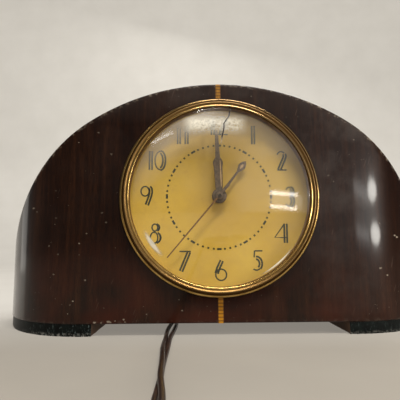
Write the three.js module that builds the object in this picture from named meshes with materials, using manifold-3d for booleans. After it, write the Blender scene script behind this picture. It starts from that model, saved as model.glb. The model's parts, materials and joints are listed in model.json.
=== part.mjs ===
// A half-round electric mantel clock with a bent-front wooden case, a brass bezel and a geared
// synchronous movement. Millimetres, +Z up, the front faces -Y. Depths are measured backwards
// from the flat front of the case, and the whole clock is shifted so that its box is centred.
import * as THREE from 'three';
import Module from 'manifold-3d';
import { mergeVertices } from 'three/addons/utils/BufferGeometryUtils.js';

const wasm = await Module();
wasm.setup();

// Clearances
const GAP = 0.3; // glued, seated and facing pieces
const RUN = 0.1; // between a turning piece and its bearing, on the radius
const PAST = 1; // cutting shapes run this far past what they cut
const BITE = 0.2; // joined shapes run this far into each other
const HOLE_SPARE = 0.5; // a blind hole is this much deeper than its screw

// Wooden case
const ARCH_R = 152.4; // radius of the half-round outline
const SIDE_TRIM = 2.3; // the flat sides are cut this far inside the arch
const BEND_R = 66; // outer radius of each bent front corner
const CASE_DEPTH = 76;
const PLY = 6; // wall of the bent front and of the arch
const BASE_T = 8;
const FOOT_H = 7.4;
const FOOT_INNER_X = 79;
const FOOT_INSET = 0.5;
const INLAY_W = 3.6;
const INLAY_T = 1;
const INLAY_FIT = 0.1;
const BACK_T = 3;
const BACK_SET = 3; // the back board lies this far inside the rear edge
const BATTEN_W = 13;
const BATTEN_D = 12;
const BATTEN_H = 17;
const TOP_BATTEN_W = 40;
const TOP_BATTEN_H = 16;
const VENT_R = 3;
const VENT_STEP = 16;
const VENT_COUNT = 6;
const VENT_H = 24; // height of the vent row over the dial's centre
const SCREW_HOLE_R = 1.6;
const SCREW_R = 1.5;
const SCREW_HEAD_R = 3.4;
const SCREW_HEAD_T = 2;
const SCREW_SHY = 1.3; // each back screw stops this far inside its batten

// Dial, bezel and glass
const DIAL_DROP = 74; // from the top of the arch to the dial's centre
const HOLE_R = 59.5;
const BEZEL_COVER = 3.3; // of the case round the hole
const BEZEL_FACE = [[0, 2.5], [1.1, 3.5], [2, 2.8], [3, 6.4], [3.8, 6.4]]; // in from the edge, height
const BEZEL_LIP_T = 0.4;
const SKIRT_T = 0.6;
const SKIRT_SHY = 0.4; // the bezel's skirt ends this far inside the panel
const GLASS_FIT = 0.4; // round the glass, in the skirt
const GLASS_T = 1.6;
const GLASS_RIM_D = 5; // the glass rim's front lies this far ahead of the case
const GLASS_DOME = 8.6;
const LIP = 0.8; // the bezel's lip covers this much of the glass rim
const DIAL_D = 3; // depth of the dial's face
const DIAL_T = 0.8;
const DIAL_HOLE_R = 4.6;
const PAN_T = 1.2;
const SPACER_T = 1.3;
const CLIP_INSET = 9.5; // of each clip's screw from the hole's edge
const CLIP_W = 12;
const CLIP_T = 1.2;
const CLIP_OVERLAP = 7;
const CLIP_TAIL = 6; // from the clip's screw to its inner end
const CLIP_BOSS_R = 4;
const CLIP_SCREW_R = 1.2;
const CLIP_HEAD_R = 2.6;
const CLIP_HEAD_T = 1.2;
const CLIP_HOLE_FLOOR = 0.2; // left of the pan under each screw's hole

// Hands
const SECOND_ANGLE = 220.5; // degrees clockwise from the twelve
const MINUTE_ANGLE = 358;
const HOUR_ANGLE = 37.7;
const HOUR_LENGTH = 28;
const MINUTE_LENGTH = 43;
const SECOND_CLEAR = 6.2; // from the second hand's tip to the glass's rim
const SECOND_TAIL = 9;
const HOUR_HUB_R = 5;
const MINUTE_HUB_R = 4.4;
const SECOND_HUB_R = 2.4;
const HAND_T = 0.5;
const HOUR_HAND_D = -0.1; // depth of each hand's rear face
const MINUTE_HAND_D = -1.5;
const SECOND_HAND_D = -3;
const MINUTE_BAR = 18; // length of the minute hand's broad part

// Movement plates and pillars
const PLATE_W = 72;
const PLATE_H = 62;
const PLATE_T = 1.5;
const FRONT_PLATE_D = 12;
const REAR_PLATE_D = 27;
const PILLAR_R = 3;
const PILLAR_NECK_R = 1.5;
const PILLAR_SIDE = 6; // of the lower pillars from the plates' side edges
const PILLAR_LOW = 7; // and from their lower edges
const PILLAR_HIGH = 4; // of the upper pillar from the upper edge
const PLATE_SCREW_R = 1.1;
const PLATE_SCREW_L = 5.5; // from the rear plate's front face
const PLATE_HEAD_R = 2.6;
const PLATE_HEAD_T = 1.5;

// Arbors, tubes and gears
const SECOND_ARBOR_R = 0.8;
const MINUTE_TUBE_R = 1.8;
const MINUTE_TUBE_WALL = 0.7;
const HOUR_PIPE_R = 3;
const HOUR_PIPE_WALL = 0.8;
const STUD_R = 0.9;
const ARBOR_R = 0.9;
const SET_SHAFT_R = 1.5;
const PINION_SHAFT_R = 1;
const TOOTH_ADDENDUM = 0.75; // in modules
const TOOTH_DEDENDUM = 1.1;
const TOOTH_ROOT = 0.95; // width at the root and at the tip, in half pitches
const TOOTH_TIP = 0.5;
const ROTOR_GEAR = { module: 0.6, pinion: 10, wheel: 36 };
const MIDDLE_GEAR = { module: 0.63, pinion: 6, wheel: 48 };
const CENTRE_PINION = 6;
const CENTRE_WHEEL = 45;
const MOTION_GEAR = { module: 0.675, pinion: 8, wheel: 24 };
const HOUR_PINION = 8;
const HOUR_WHEEL = 32;
const SET_WHEEL = 16;
const MIDDLE_DIRECTION = 160; // degrees anticlockwise from the right, seen from the front
const MINUTE_WHEEL_T = 1.2;
const HOUR_WHEEL_D = 6;
const MINUTE_WHEEL_D = 8.2;
const CENTRE_WHEEL_D = 16;
const MIDDLE_WHEEL_D = 20.8;
const SECOND_WHEEL_D = 24;
const WHEEL_T = 1;
const PINION_LENGTH = 2.4;
const PIVOT_PROUD = 0.8;
const PIVOT_SHY = 0.2; // the middle arbor's ends stop this far inside the plates' outer faces
const CANNON_OVER = 0.2; // the cannon pinion is this much longer than its wheel at each end
const ROTOR_SHAFT_PROUD = 3.5; // of the output pinion's shaft, behind the rear plate

// Motor
const COIL_CLEAR = 1.5; // between the coil and the rear plate
const CORE_T = 10;
const CORE_HALF_W = 21;
const CORE_LEG = 9;
const CORE_TOP = 26;
const CORE_BOTTOM = -30.8;
const WINDOW_BOTTOM = 1.5;
const TOP_LEG_H = 10;
const POLE_SLOT = 2;
const CAN_R = 16;
const CAN_NOSE_R = 11;
const CAN_WALL = 1;
const CAN_NOSE_L = 14;
const ROTOR_R = 8.5;
const ROTOR_T = 7;
const COIL_BUILD = 8;
const FLANGE_T = 1;
const CORE_SCREW_R = 1.5;
const CORE_SPACER_R = 2.6;
const CORE_HEAD_T = 2;

// Setting knob
const KNOB_R = 8;
const KNOB_T = 9;
const KNOB_RIBS = 20;
const KNOB_RIB_T = 0.5;
const KNOB_CAP = 2; // left over the end of the shaft
const KNOB_CLEAR = 1;
const SHAFT_CLEAR = 1.5; // round the shaft, in the back board

// Mains cord
const CORD_W = 5.2;
const CORD_T = 2.6;
const FLOOR_CLEAR = 0.1;
const CORD_EXIT_X = 15.5;
const BOOT_L = 22;
const BOOT_ROOT_R = 5;
const BOOT_TIP_R = 3.2;
const BOOT_FLANGE_R = 6.5;
const BOOT_FLANGE_T = 2;
const BOOT_NECK = 1; // from the flange to where the taper starts
const LEAD_R = 1.3;
const CORD_STEPS = 46;
const LEAD_STEPS = 16;

// Wound coil of the cord on the floor
const COIL_MEAN_R = 28.5;
const COIL_TURNS_IN = 4;
const COIL_TURNS_OUT = 4.25;
const COIL_SIDE_GAP = 0.8;
const COIL_LAYER_GAP = 0.6;
const COIL_STEPS = 24; // to a turn
const COIL_Y = -178; // depth of the coil's centre
const LEAD_IN = 22;
const LEAD_OUT = 26;
const TIE_T = 0.6;
const TIE_W = 4;
const TIE_GAP = 0.4;

// Plug
const PLUG_L = 30;
const PLUG_W = 24;
const PLUG_T = 14;
const PLUG_NECK = 9;
const PLUG_BEVEL = 2;
const PLUG_WAIST = 13.5; // from the cord's end to where the plug widens
const PLUG_FLARE = 1.5;
const PLUG_SHOULDER = 5;
const BLADE_L = 17;
const BLADE_H = 6.35;
const BLADE_T = 1.5;
const BLADE_SPREAD = 12.7;
const BLADE_ROOT = 6;

// Facets
const ARCH_STEPS = 48;
const BEND_STEPS = 11;
const SMALL = 12; // sides of screws and arbors
const ROUND = 16;
const WIDE = 24;
const BIG_ROUND = 40;
const DOME_STEPS = 4;

// Places that follow from the sizes
const INNER = PLY + GAP; // from the outside of the case to what is glued inside it
const ARCH_Z = FOOT_H; // height of the arch's centre
const SIDE_X = ARCH_R - SIDE_TRIM;
const BACK_D = CASE_DEPTH - BACK_SET - BACK_T;
const FLOOR_TOP = FOOT_H + BASE_T;
const TOP = ARCH_Z + ARCH_R;
const DIAL_Z = TOP - DIAL_DROP;
const BATTEN_X = SIDE_X - INNER - BATTEN_W; // inner side of each side batten
const BATTEN_LOW = FLOOR_TOP + GAP;
const BATTEN_REAR = BACK_D - GAP;
const SCREW_L = GAP + BATTEN_D - SCREW_SHY;
const TOP_BATTEN_LOW = TOP - PLY - TOP_BATTEN_H;
const backScrews = [
  [-BATTEN_X - BATTEN_W / 2, BATTEN_LOW + BATTEN_H / 2],
  [BATTEN_X + BATTEN_W / 2, BATTEN_LOW + BATTEN_H / 2],
  [0, TOP_BATTEN_LOW + TOP_BATTEN_H / 2],
];
const PAN_D = DIAL_D + DIAL_T;
const PAN_REAR = PAN_D + PAN_T;
const SKIRT_R = HOLE_R - GAP;
const SKIRT_D = PLY - SKIRT_SHY;
const BEZEL_R = HOLE_R + BEZEL_COVER;
const GLASS_R = SKIRT_R - SKIRT_T - GLASS_FIT;
const CLIP_X = HOLE_R - CLIP_INSET;
const SECOND_LENGTH = GLASS_R - SECOND_CLEAR;
const KNOB_D = BACK_D + BACK_T + KNOB_CLEAR;
const GLASS_APEX = GLASS_RIM_D + GLASS_DOME;
const FRONT_Y = (GLASS_APEX - KNOB_D - KNOB_T) / 2;
const PILLARS = [
  [-PLATE_W / 2 + PILLAR_SIDE, -PLATE_H / 2 + PILLAR_LOW],
  [PLATE_W / 2 - PILLAR_SIDE, -PLATE_H / 2 + PILLAR_LOW],
  [0, PLATE_H / 2 - PILLAR_HIGH],
];
const CORE_D = REAR_PLATE_D + PLATE_T + COIL_CLEAR + COIL_BUILD;
const CORE_SCREW_X = CORE_HALF_W - CORE_LEG / 2;
const CORE_SCREW_Z = CORE_TOP - TOP_LEG_H / 2;
const COIL_REAR = CORE_D + CORE_T + COIL_BUILD - GAP;
const BOOT_FRONT = BACK_D - GAP - BOOT_FLANGE_T;
const CORD_EXIT_Z = FLOOR_TOP + GAP + BOOT_FLANGE_R;
const LAYER_RISE = CORD_W + COIL_LAYER_GAP;
const LOOP_STEP = CORD_T + COIL_SIDE_GAP;
const COIL_INNER_R = COIL_MEAN_R - LOOP_STEP * COIL_TURNS_IN / 2;
const COIL_OUTER_R = COIL_INNER_R + LOOP_STEP * COIL_TURNS_IN;
const COIL_LOW_Z = TIE_T + TIE_GAP + CORD_W / 2;
const CORD_FLOOR_X = -27.4; // where the cord meets the coil, to the left of the middle
const COIL_X = CORD_FLOOR_X + COIL_OUTER_R;

// Half width and height of each corner of a hand that points up
const HOUR_HALF = [[1.1, 0], [0.9, HOUR_LENGTH - 7.8], [2.3, HOUR_LENGTH - 3.9], [0.6, HOUR_LENGTH]];
const MINUTE_HALF = [
  [2.6, 0], [2.6, MINUTE_BAR], [3.2, MINUTE_BAR + 3.5], [1.5, MINUTE_BAR + 6], [1.1, MINUTE_LENGTH - 2],
  [0.5, MINUTE_LENGTH],
];
const SECOND_HALF = [[0.8, -SECOND_TAIL], [0.5, 0], [0.3, SECOND_LENGTH]];

// Materials: colour, roughness, metalness
function finish(color, roughness, metalness) {
  return () => new THREE.MeshStandardMaterial({ color, roughness, metalness });
}

const MAHOGANY = finish(0x3b1c17, 0.35, 0);
const EBONISED = finish(0x16170f, 0.5, 0);
const RAW_WOOD = finish(0x9a7448, 0.8, 0);
const INLAY_WOOD = finish(0xc07a2e, 0.4, 0);
const BOARD = finish(0x6b4a30, 0.9, 0);
const BRASS = finish(0xc9a24a, 0.3, 1);
const STEEL = finish(0xb8babc, 0.35, 1);
const IRON = finish(0x55585a, 0.5, 1);
const COPPER = finish(0xb06a3c, 0.35, 1);
const DIAL_GOLD = finish(0xd0a048, 0.5, 0);
const CLEAR_GLASS = finish(0xf2ead2, 0.05, 0);
const HAND_DARK = finish(0x3a2f20, 0.5, 0.2);
const HAND_GILT = finish(0x9a6a1c, 0.4, 0.4);
const BAKELITE = finish(0x2b1a12, 0.35, 0);
const BROWN_RUBBER = finish(0x3a2018, 0.7, 0);
const COIL_TAPE = finish(0x8c5a28, 0.7, 0);
const FIBRE = finish(0x7c3b2a, 0.8, 0);

const clock = new THREE.Group();
clock.position.y = FRONT_Y;

function add(name, geometry, material) {
  const mesh = new THREE.Mesh(geometry, material());
  mesh.name = name;
  clock.add(mesh);
  return mesh;
}

// Joining and cutting

function toSolid(geometry) {
  const bare = geometry.clone();
  bare.deleteAttribute('normal');
  bare.deleteAttribute('uv');
  const merged = mergeVertices(bare);
  return new wasm.Manifold(new wasm.Mesh({
    numProp: 3,
    vertProperties: new Float32Array(merged.attributes.position.array),
    triVerts: new Uint32Array(merged.index.array),
  }));
}

function toGeometry(solid) {
  const mesh = solid.getMesh();
  const geometry = new THREE.BufferGeometry();
  geometry.setAttribute('position', new THREE.BufferAttribute(mesh.vertProperties, 3));
  geometry.setIndex(new THREE.BufferAttribute(mesh.triVerts, 1));
  return geometry;
}

function cut(geometry, ...tools) {
  return toGeometry(tools.reduce((left, tool) => left.subtract(toSolid(tool)), toSolid(geometry)));
}

function join(geometry, ...others) {
  return toGeometry(others.reduce((left, other) => left.add(toSolid(other)), toSolid(geometry)));
}

function common(geometry, other) {
  return toGeometry(toSolid(geometry).intersect(toSolid(other)));
}

// Basic shapes

function radians(degrees) {
  return degrees * Math.PI / 180;
}

function shapeOf(points) {
  return new THREE.Shape(points.map(([x, y]) => new THREE.Vector2(x, y)));
}

// An outline drawn as seen from the front, carried backwards from one depth to another.
function throughDepth(shape, from, to) {
  const geometry = new THREE.ExtrudeGeometry(shape, { depth: to - from, bevelEnabled: false, steps: 1 });
  return geometry.rotateX(Math.PI / 2).translate(0, to, 0);
}

// An outline drawn as seen from above, carried upwards from one height to another.
function upwards(shape, from, to) {
  const geometry = new THREE.ExtrudeGeometry(shape, { depth: to - from, bevelEnabled: false, steps: 1 });
  return geometry.translate(0, 0, from);
}

// A closed profile of radius and depth points, turned round an axis that runs front to back.
function turned(profile, x, z, sides = ROUND) {
  const area = profile.reduce((sum, [r, d], i) => {
    const [r2, d2] = profile[(i + 1) % profile.length];
    return sum + r * d2 - r2 * d;
  }, 0);
  const ordered = area > 0 ? [...profile] : [...profile].reverse();
  const onAxis = ordered.findIndex(([r], i) => r === 0 && ordered.at(i - 1)[0] === 0);
  const first = Math.max(onAxis, 0);
  const looped = [...ordered.slice(first), ...ordered.slice(0, first)];
  if (onAxis < 0) {
    looped.push(ordered[0]);
  }
  const points = looped.map(([r, d]) => new THREE.Vector2(r, d));
  return new THREE.LatheGeometry(points, sides).translate(x, 0, z);
}

function rod(radius, from, to, x, z, sides = ROUND) {
  return turned([[0, from], [radius, from], [radius, to], [0, to]], x, z, sides);
}

function tube(inner, outer, from, to, x, z, sides = ROUND) {
  return turned([[inner, from], [outer, from], [outer, to], [inner, to]], x, z, sides);
}

function block(x0, x1, d0, d1, z0, z1) {
  const box = new THREE.BoxGeometry(x1 - x0, d1 - d0, z1 - z0);
  return box.translate((x0 + x1) / 2, (d0 + d1) / 2, (z0 + z1) / 2);
}

// Case outlines

// The plan of the case's outside, moved inwards, from the left rear corner round the front.
function planLine(inset, rear) {
  const radius = BEND_R - inset;
  const middle = SIDE_X - BEND_R;
  const points = [[-middle - radius, rear]];
  for (let i = 0; i <= BEND_STEPS; i += 1) {
    const angle = Math.PI + i / BEND_STEPS * Math.PI / 2;
    points.push([-middle + radius * Math.cos(angle), BEND_R + radius * Math.sin(angle)]);
  }
  for (let i = 0; i <= BEND_STEPS; i += 1) {
    const angle = Math.PI * 1.5 + i / BEND_STEPS * Math.PI / 2;
    points.push([middle + radius * Math.cos(angle), BEND_R + radius * Math.sin(angle)]);
  }
  points.push([middle + radius, rear]);
  return points;
}

// The arch as seen from the front, over a level line.
function archLine(radius, level) {
  const start = Math.asin((level - ARCH_Z) / radius);
  const points = [];
  for (let i = 0; i <= ARCH_STEPS; i += 1) {
    const angle = start + i / ARCH_STEPS * (Math.PI - 2 * start);
    points.push([radius * Math.cos(angle), ARCH_Z + radius * Math.sin(angle)]);
  }
  return points;
}

// The room inside the case walls, up to the arch.
function inside(from, to, level) {
  const plan = upwards(shapeOf(planLine(INNER, CASE_DEPTH + PAST)), level, ARCH_Z + ARCH_R);
  const arch = throughDepth(shapeOf(archLine(ARCH_R - INNER, level)), from, to);
  return common(plan, arch);
}

// Wooden case

function frontPanel() {
  const inner = planLine(PLY, CASE_DEPTH).reverse();
  const band = upwards(shapeOf([...planLine(0, CASE_DEPTH), ...inner]), FOOT_H, TOP);
  const arch = throughDepth(shapeOf(archLine(ARCH_R, FOOT_H)), -PAST, CASE_DEPTH + PAST);
  const hole = rod(HOLE_R, -PAST, PLY + PAST, 0, DIAL_Z, BIG_ROUND);
  const half = INLAY_W / 2 + INLAY_FIT;
  const groove = block(-half, half, -PAST, INLAY_T + INLAY_FIT, 0, TOP + PAST);
  return cut(common(band, arch), hole, groove);
}

function archPanel() {
  const outer = archLine(ARCH_R, FLOOR_TOP);
  const inner = archLine(ARCH_R - PLY, FLOOR_TOP).reverse();
  const ring = throughDepth(shapeOf([...outer, ...inner]), INNER, CASE_DEPTH);
  const plan = upwards(shapeOf(planLine(INNER, CASE_DEPTH + PAST)), FOOT_H, TOP + PAST);
  return common(ring, plan);
}

function foot(side) {
  const plan = upwards(shapeOf(planLine(FOOT_INSET, CASE_DEPTH - FOOT_INSET)), 0, FOOT_H);
  const far = SIDE_X + PAST;
  const [x0, x1] = side < 0 ? [-far, -FOOT_INNER_X] : [FOOT_INNER_X, far];
  return common(plan, block(x0, x1, -PAST, CASE_DEPTH + PAST, -PAST, FOOT_H + PAST));
}

function screwHoles(radius) {
  return backScrews.map(([x, z]) => rod(radius, BACK_D - SCREW_L - HOLE_SPARE, CASE_DEPTH, x, z, SMALL));
}

function batten(side) {
  const [x0, x1] = side < 0 ? [-SIDE_X, -BATTEN_X] : [BATTEN_X, SIDE_X];
  const strip = block(x0, x1, BATTEN_REAR - BATTEN_D, BATTEN_REAR, BATTEN_LOW, BATTEN_LOW + BATTEN_H);
  const plan = upwards(shapeOf(planLine(INNER, CASE_DEPTH)), FOOT_H, TOP);
  return cut(common(strip, plan), ...screwHoles(SCREW_HOLE_R));
}

function topBatten() {
  const half = TOP_BATTEN_W / 2;
  const strip = block(-half, half, BATTEN_REAR - BATTEN_D, BATTEN_REAR, TOP_BATTEN_LOW, TOP);
  return cut(common(strip, inside(0, CASE_DEPTH, FLOOR_TOP)), ...screwHoles(SCREW_HOLE_R));
}

function backBoard(knobX) {
  const board = inside(BACK_D, BACK_D + BACK_T, FLOOR_TOP + GAP);
  const vents = [];
  for (let i = 0; i < VENT_COUNT; i += 1) {
    const x = (i - (VENT_COUNT - 1) / 2) * VENT_STEP;
    vents.push(rod(VENT_R, BACK_D - PAST, CASE_DEPTH, x, DIAL_Z + VENT_H, SMALL));
  }
  const knobHole = rod(SET_SHAFT_R + SHAFT_CLEAR, BACK_D - PAST, CASE_DEPTH, knobX, DIAL_Z, ROUND);
  const cordHole = rod(BOOT_ROOT_R + GAP, BACK_D - PAST, CASE_DEPTH, CORD_EXIT_X, CORD_EXIT_Z, ROUND);
  return cut(board, ...vents, knobHole, cordHole, ...screwHoles(SCREW_HOLE_R));
}

function backScrew(x, z) {
  const rear = BACK_D + BACK_T;
  return turned([
    [0, BACK_D - SCREW_L], [SCREW_R, BACK_D - SCREW_L + SCREW_R], [SCREW_R, rear], [SCREW_HEAD_R, rear],
    [SCREW_HEAD_R * 0.8, rear + SCREW_HEAD_T * 0.7], [0, rear + SCREW_HEAD_T],
  ], x, z, SMALL);
}

function buildCase(knobX) {
  const half = INLAY_W / 2;
  add('front_panel', frontPanel(), MAHOGANY);
  add('arch_panel', archPanel(), MAHOGANY);
  const base = upwards(shapeOf(planLine(INNER, CASE_DEPTH)), FOOT_H, FLOOR_TOP);
  add('base_board', base, RAW_WOOD);
  add('back_board', backBoard(knobX), BOARD);
  add('left_foot', foot(-1), EBONISED);
  add('right_foot', foot(1), EBONISED);
  add('inlay_top', block(-half, half, 0, INLAY_T, DIAL_Z + HOLE_R, TOP - INLAY_FIT), INLAY_WOOD);
  add('inlay_bottom', block(-half, half, 0, INLAY_T, FOOT_H, DIAL_Z - HOLE_R), INLAY_WOOD);
  add('left_back_batten', batten(-1), RAW_WOOD);
  add('right_back_batten', batten(1), RAW_WOOD);
  add('top_back_batten', topBatten(), RAW_WOOD);
  backScrews.forEach(([x, z], i) => add(`back_screw_${i + 1}`, backScrew(x, z), STEEL));
}

// Bezel, glass, dial and their pan

function bezel() {
  const lipR = GLASS_R - LIP;
  const pocket = SKIRT_R - SKIRT_T;
  const lipRear = -GLASS_RIM_D - GAP;
  const face = BEZEL_FACE.map(([inwards, height]) => [BEZEL_R - inwards, -height]);
  return turned([
    [SKIRT_R, SKIRT_D], [SKIRT_R, 0], [BEZEL_R, 0], ...face,
    [lipR, lipRear - BEZEL_LIP_T], [lipR, lipRear], [pocket, lipRear], [pocket, SKIRT_D],
  ], 0, DIAL_Z, BIG_ROUND);
}

// A shallow dome of one sphere, from its rim to its top, as radius and depth points.
function dome(radius, rimDepth, height, steps) {
  const sphere = (radius * radius + height * height) / (2 * height);
  const points = [];
  for (let i = 0; i <= steps; i += 1) {
    const r = radius * (1 - i / steps);
    points.push([r, rimDepth - height + sphere - Math.sqrt(sphere * sphere - r * r)]);
  }
  return points;
}

function crystal() {
  const domeR = GLASS_R - LIP - GAP;
  const front = dome(domeR, -GLASS_RIM_D, GLASS_DOME, DOME_STEPS);
  const rear = dome(domeR - GLASS_T / 2, -GLASS_RIM_D + GLASS_T, GLASS_DOME, DOME_STEPS).reverse();
  const rim = [[GLASS_R, -GLASS_RIM_D + GLASS_T], [GLASS_R, -GLASS_RIM_D]];
  return turned([...front, ...rear, ...rim], 0, DIAL_Z, BIG_ROUND);
}

function dialPan() {
  const pan = tube(DIAL_HOLE_R, GLASS_R, PAN_D, PAN_REAR, 0, DIAL_Z, BIG_ROUND);
  const bosses = [-1, 1].map((side) => rod(CLIP_BOSS_R, PAN_D + PAN_T / 2, PLY, side * CLIP_X, DIAL_Z));
  const floor = PAN_D + CLIP_HOLE_FLOOR;
  const bore = CLIP_SCREW_R + RUN;
  const holes = [-1, 1].map((side) => rod(bore, floor, PLY + PAST, side * CLIP_X, DIAL_Z, SMALL));
  return cut(join(pan, ...bosses), ...holes);
}

function clip(side) {
  const ends = [side * (CLIP_X - CLIP_TAIL), side * (HOLE_R + CLIP_OVERLAP)];
  const strap = block(Math.min(...ends), Math.max(...ends), PLY, PLY + CLIP_T,
    DIAL_Z - CLIP_W / 2, DIAL_Z + CLIP_W / 2);
  const hole = rod(CLIP_SCREW_R + RUN, PLY - PAST, PLY + CLIP_T + PAST, side * CLIP_X, DIAL_Z, SMALL);
  return cut(strap, hole);
}

function clipScrew(side) {
  const seat = PLY + CLIP_T;
  const tip = PAN_D + CLIP_HOLE_FLOOR + GAP;
  return turned([
    [0, tip], [CLIP_SCREW_R, tip], [CLIP_SCREW_R, seat], [CLIP_HEAD_R, seat],
    [CLIP_HEAD_R, seat + CLIP_HEAD_T], [0, seat + CLIP_HEAD_T],
  ], side * CLIP_X, DIAL_Z, SMALL);
}

function buildDial() {
  add('bezel', bezel(), BRASS);
  add('crystal', crystal(), CLEAR_GLASS);
  const ringFront = -GLASS_RIM_D + GLASS_T + GAP;
  add('spacer_ring', tube(GLASS_R - SPACER_T, GLASS_R, ringFront, DIAL_D - GAP, 0, DIAL_Z, BIG_ROUND), BRASS);
  add('dial', tube(DIAL_HOLE_R, GLASS_R, DIAL_D, PAN_D, 0, DIAL_Z, BIG_ROUND), DIAL_GOLD);
  add('dial_pan', dialPan(), STEEL);
  add('left_clip', clip(-1), STEEL);
  add('right_clip', clip(1), STEEL);
  add('left_clip_screw', clipScrew(-1), STEEL);
  add('right_clip_screw', clipScrew(1), STEEL);
}

// Gears

// Spur teeth as seen from the front, with the first tooth at the phase angle.
function gearShape(teeth, module, phase) {
  const pitchR = teeth * module / 2;
  const tip = pitchR + TOOTH_ADDENDUM * module;
  const root = pitchR - TOOTH_DEDENDUM * module;
  const half = Math.PI * module / 4 / pitchR;
  const points = [];
  for (let k = 0; k < teeth; k += 1) {
    const angle = phase + k * 2 * Math.PI / teeth;
    const corners = [[root, -TOOTH_ROOT], [tip, -TOOTH_TIP], [tip, TOOTH_TIP], [root, TOOTH_ROOT]];
    for (const [radius, width] of corners) {
      const at = angle + width * half;
      points.push([radius * Math.cos(at), radius * Math.sin(at)]);
    }
  }
  return shapeOf(points);
}

function gear(teeth, module, phase, bore, from, to, [x, z]) {
  const shape = gearShape(teeth, module, phase);
  if (bore > 0) {
    const hole = new THREE.Path();
    const points = Array.from({ length: ROUND }, (_, i) => -i * 2 * Math.PI / ROUND)
      .map((angle) => new THREE.Vector2(bore * Math.cos(angle), bore * Math.sin(angle)));
    hole.setFromPoints(points);
    shape.holes.push(hole);
  }
  return throughDepth(shape, from, to).translate(x, 0, z);
}

// The phase that lets a gear's teeth meet those of a neighbour at the given direction.
function meshPhase(direction, teeth, phase, otherTeeth) {
  const pitch = 2 * Math.PI / teeth;
  const otherPitch = 2 * Math.PI / otherTeeth;
  return direction + Math.PI + otherPitch * (0.5 - (phase - direction) / pitch);
}

function away([x, z], distance, direction) {
  return [x + distance * Math.cos(direction), z + distance * Math.sin(direction)];
}

// Axes of the train, as places on the front
const CENTRE = [0, DIAL_Z];
const rotorDirection = -Math.PI / 2;
const middleDirection = radians(MIDDLE_DIRECTION);
const rotorDistance = (ROTOR_GEAR.pinion + ROTOR_GEAR.wheel) * ROTOR_GEAR.module / 2;
const rotorAxis = away(CENTRE, rotorDistance, rotorDirection);
const middleDistance = (MIDDLE_GEAR.pinion + MIDDLE_GEAR.wheel) * MIDDLE_GEAR.module / 2;
const middleAxis = away(CENTRE, middleDistance, middleDirection);
const centreModule = 2 * middleDistance / (CENTRE_PINION + CENTRE_WHEEL);
const minuteDistance = (MOTION_GEAR.pinion + MOTION_GEAR.wheel) * MOTION_GEAR.module / 2;
const minuteAxis = away(CENTRE, minuteDistance, 0);
const hourModule = 2 * minuteDistance / (HOUR_PINION + HOUR_WHEEL);
const setAxis = away(minuteAxis, (MOTION_GEAR.wheel + SET_WHEEL) * MOTION_GEAR.module / 2, 0);

// Movement plates and pillars

function plate(depth, holes) {
  const [x, z] = CENTRE;
  const wide = PLATE_W / 2;
  const high = PLATE_H / 2;
  const sheet = block(x - wide, x + wide, depth, depth + PLATE_T, z - high, z + high);
  const end = depth + PLATE_T + PAST;
  const tools = holes.map(([radius, hx, hz]) => rod(radius, depth - PAST, end, hx, hz, SMALL));
  return cut(sheet, ...tools);
}

function frontPlate() {
  const necks = PILLARS.map(([x, z]) => [PILLAR_NECK_R + RUN, x, DIAL_Z + z]);
  const sheet = plate(FRONT_PLATE_D, [
    ...necks, [MINUTE_TUBE_R + RUN, ...CENTRE], [ARBOR_R + RUN, ...middleAxis],
    [SET_SHAFT_R + RUN, ...setAxis],
  ]);
  const stud = rod(STUD_R, HOUR_WHEEL_D + GAP, FRONT_PLATE_D + PLATE_T / 2, ...minuteAxis, SMALL);
  return join(sheet, stud);
}

function rearPlate() {
  const screws = PILLARS.map(([x, z]) => [PLATE_SCREW_R + RUN, x, DIAL_Z + z]);
  const rotorHole = ROTOR_GEAR.pinion * ROTOR_GEAR.module / 2 + ROTOR_GEAR.module + GAP;
  return plate(REAR_PLATE_D, [
    ...screws, [SECOND_ARBOR_R + RUN, ...CENTRE], [ARBOR_R + RUN, ...middleAxis],
    [SET_SHAFT_R + RUN, ...setAxis], [rotorHole, ...rotorAxis],
  ]);
}

function pillar([x, z]) {
  const neckEnd = FRONT_PLATE_D + PLATE_T;
  const bore = PLATE_SCREW_R + RUN;
  const boreEnd = REAR_PLATE_D - PLATE_SCREW_L - HOLE_SPARE;
  return turned([
    [0, PAN_REAR], [PILLAR_R, PAN_REAR], [PILLAR_R, FRONT_PLATE_D], [PILLAR_NECK_R, FRONT_PLATE_D],
    [PILLAR_NECK_R, neckEnd], [PILLAR_R, neckEnd], [PILLAR_R, REAR_PLATE_D], [bore, REAR_PLATE_D],
    [bore, boreEnd], [0, boreEnd],
  ], x, DIAL_Z + z, SMALL);
}

function plateScrew([x, z]) {
  const seat = REAR_PLATE_D + PLATE_T;
  const tip = REAR_PLATE_D - PLATE_SCREW_L;
  return turned([
    [0, tip], [PLATE_SCREW_R, tip], [PLATE_SCREW_R, seat],
    [PLATE_HEAD_R, seat], [PLATE_HEAD_R, seat + PLATE_HEAD_T], [0, seat + PLATE_HEAD_T],
  ], x, DIAL_Z + z, SMALL);
}

function buildPlates() {
  add('front_plate', frontPlate(), BRASS);
  add('rear_plate', rearPlate(), BRASS);
  PILLARS.forEach((place, i) => {
    add(`pillar_${i + 1}`, pillar(place), STEEL);
    add(`plate_screw_${i + 1}`, plateScrew(place), STEEL);
  });
}

// Going train: rotor pinion, second wheel, middle wheel, centre wheel

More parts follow.
